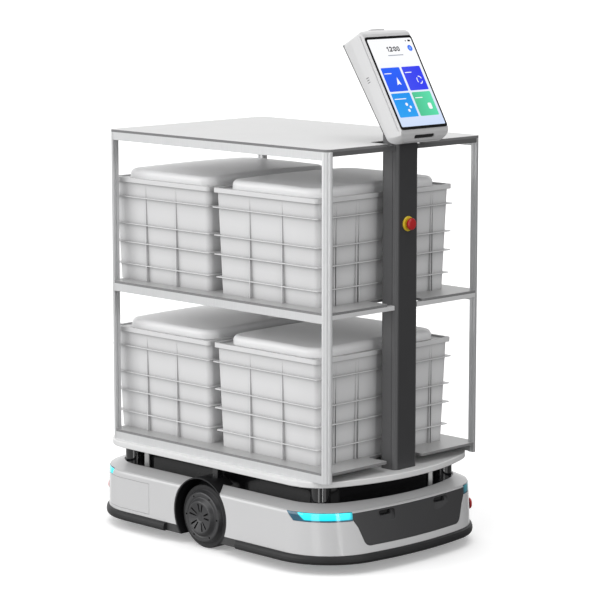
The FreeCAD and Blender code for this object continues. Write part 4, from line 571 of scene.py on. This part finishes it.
# clock digits 12:00, 14 mm tall
bm = bmesh.new()
V0, V1 = 225.0, 239.4
prism(bm, [(-19.6, V0), (-16.4, V0), (-16.4, V1), (-19.4, V1), (-23.4, V1 - 3.2), (-22.0, V1 - 5.4), (-19.6, V1 - 3.6)], 0.15, 0.25)
two = [(-11.6, V1 - 3.9), (-10.6, V1 - 2.2), (-8.6, V1 - 1.4), (-6.4, V1 - 1.5), (-4.6, V1 - 3.2), (-4.6, V1 - 5.6), (-6.6, V1 - 8.6), (-11.2, V0 + 1.45), (-3.2, V0 + 1.45)]
prism(bm, stroke(two, 3.5), 0.15, 0.25)
for cv in (228.4, 235.6):
    prism(bm, disc(0.4, cv, 1.75, 20), 0.15, 0.25)
for cu in (8.2, 20.4):
    prism(bm, round_rect(cu - 5.0, V0, cu + 5.0, V1, 4.8, 8), 0.15, 0.25, round_rect(cu - 1.8, V0 + 3.2, cu + 1.8, V1 - 3.2, 1.7, 8))
# status marks at the top right
prism(bm, disc(60.6, 254.4, 2.1, 20), 0.15, 0.25)
prism(bm, round_rect(68.6, 251.8, 78.6, 257.0, 1.3, 4), 0.15, 0.25)
new_piece("screen_clock", bm, UI_BLACK, HEAD_BODY, HEAD)

bm = bmesh.new()
prism(bm, round_rect(-27.5, 212.4, 31.0, 215.2, 1.3, 4), 0.15, 0.25)
new_piece("screen_line", bm, UI_GREY, HEAD_BODY, HEAD)

bm = bmesh.new()
prism(bm, disc(66.8, 232.4, 9.0, 48), 0.15, 0.25, disc(66.8, 232.4, 4.0, 48))
new_piece("screen_round_button", bm, lit("m_ui_round", srgb(70, 128, 246), srgb(56, 116, 246), 0.22, 0.24), HEAD_BODY, HEAD)
bm = bmesh.new()
prism(bm, disc(66.8, 232.4, 3.9, 32), 0.15, 0.24)
new_piece("screen_round_centre", bm, lit("m_ui_round_centre", srgb(140, 178, 250), srgb(120, 165, 250), 0.22, 0.24), HEAD_BODY, HEAD)

# ------------------------------------------------------------------- surrounds
bm = bmesh.new()
bmesh.ops.create_grid(bm, x_segments=1, y_segments=1, size=120.0)
me = bpy.data.meshes.new("floor")
bm.to_mesh(me)
bm.free()
floor = bpy.data.objects.new("floor", me)
floor.location = (0, 0, -0.0002)
scene.collection.objects.link(floor)
fm, fnt, fb = new_mat("m_floor")
fb.inputs["Base Color"].default_value = (0.92, 0.92, 0.92, 1)
fb.inputs["Roughness"].default_value = 0.9
fb.inputs["Specular IOR Level"].default_value = 0.0
fb.inputs["Emission Color"].default_value = (1, 1, 1, 1)
fb.inputs["Emission Strength"].default_value = 0.24
floor.visible_diffuse = False
floor.visible_glossy = False
me.materials.append(fm)

world = bpy.data.worlds.new("studio")
scene.world = world
world.use_nodes = True
wn = world.node_tree
bg = wn.nodes.get("Background") or wn.nodes.new("ShaderNodeBackground")
wt = wn.nodes.new("ShaderNodeTexCoord")
ws = wn.nodes.new("ShaderNodeVectorMath")
ws.operation = "DOT_PRODUCT"
ws.inputs[1].default_value = (-0.66, 0.60, 0.45)
wn.links.new(wt.outputs["Generated"], ws.inputs[0])
wr = wn.nodes.new("ShaderNodeMapRange")
wr.inputs["From Min"].default_value = -0.8
wr.inputs["From Max"].default_value = 0.8
wr.inputs["To Min"].default_value = 0.16
wr.inputs["To Max"].default_value = 0.62
wn.links.new(ws.outputs["Value"], wr.inputs["Value"])
bg.inputs["Color"].default_value = (1, 1, 1, 1)
wn.links.new(wr.outputs["Result"], bg.inputs["Strength"])


def area(name, loc, target, size, power, size_y=None, spread=None):
    d = bpy.data.lights.new(name, "AREA")
    d.energy = power
    d.size = size
    if size_y:
        d.shape = "RECTANGLE"
        d.size_y = size_y
    o = bpy.data.objects.new(name, d)
    o.location = loc
    o.rotation_euler = (Vector(target) - Vector(loc)).to_track_quat("-Z", "Y").to_euler()
    scene.collection.objects.link(o)
    return o


def sun(name, direction, strength, angle):
    d = bpy.data.lights.new(name, "SUN")
    d.energy = strength
    d.angle = math.radians(angle)
    o = bpy.data.objects.new(name, d)
    o.rotation_euler = Vector(direction).to_track_quat("-Z", "Y").to_euler()
    scene.collection.objects.link(o)
    return o


sun("sky_top", (0.1, 0.10, -1.0), 1.15, 60)
sun("key_left", (0.76, -0.40, -0.30), 1.45, 55)
sun("front_fill", (-0.10, 0.9, -0.22), 0.68, 60)
sun("back_fill", (-0.62, -0.70, -0.28), 0.95, 80)
strip = area("strip", (-3.1, -8.2, 0.6), (0.0, 0.0, 0.6), 1.1, 130.0, 7.0)
strip.visible_camera = False
soft = area("soft", (-8.4, -4.2, 0.8), (0.0, 0.0, 0.5), 2.6, 120.0, 7.0)
soft.visible_camera = False

# ---------------------------------------------------------------------- camera
cam_data = bpy.data.cameras.new("camera")
cam = bpy.data.objects.new("camera", cam_data)
scene.collection.objects.link(cam)
cam.location = (-5.0285, -5.0968, 1.7751)
cam.rotation_euler = (math.radians(90.0 - 8.877), 0.0, math.radians(-44.914))
cam_data.sensor_width = 36.0
cam_data.lens = 2592.24 * 36.0 / 600.0
cam_data.clip_end = 400.0
scene.camera = cam
scene.view_settings.view_transform = "Standard"
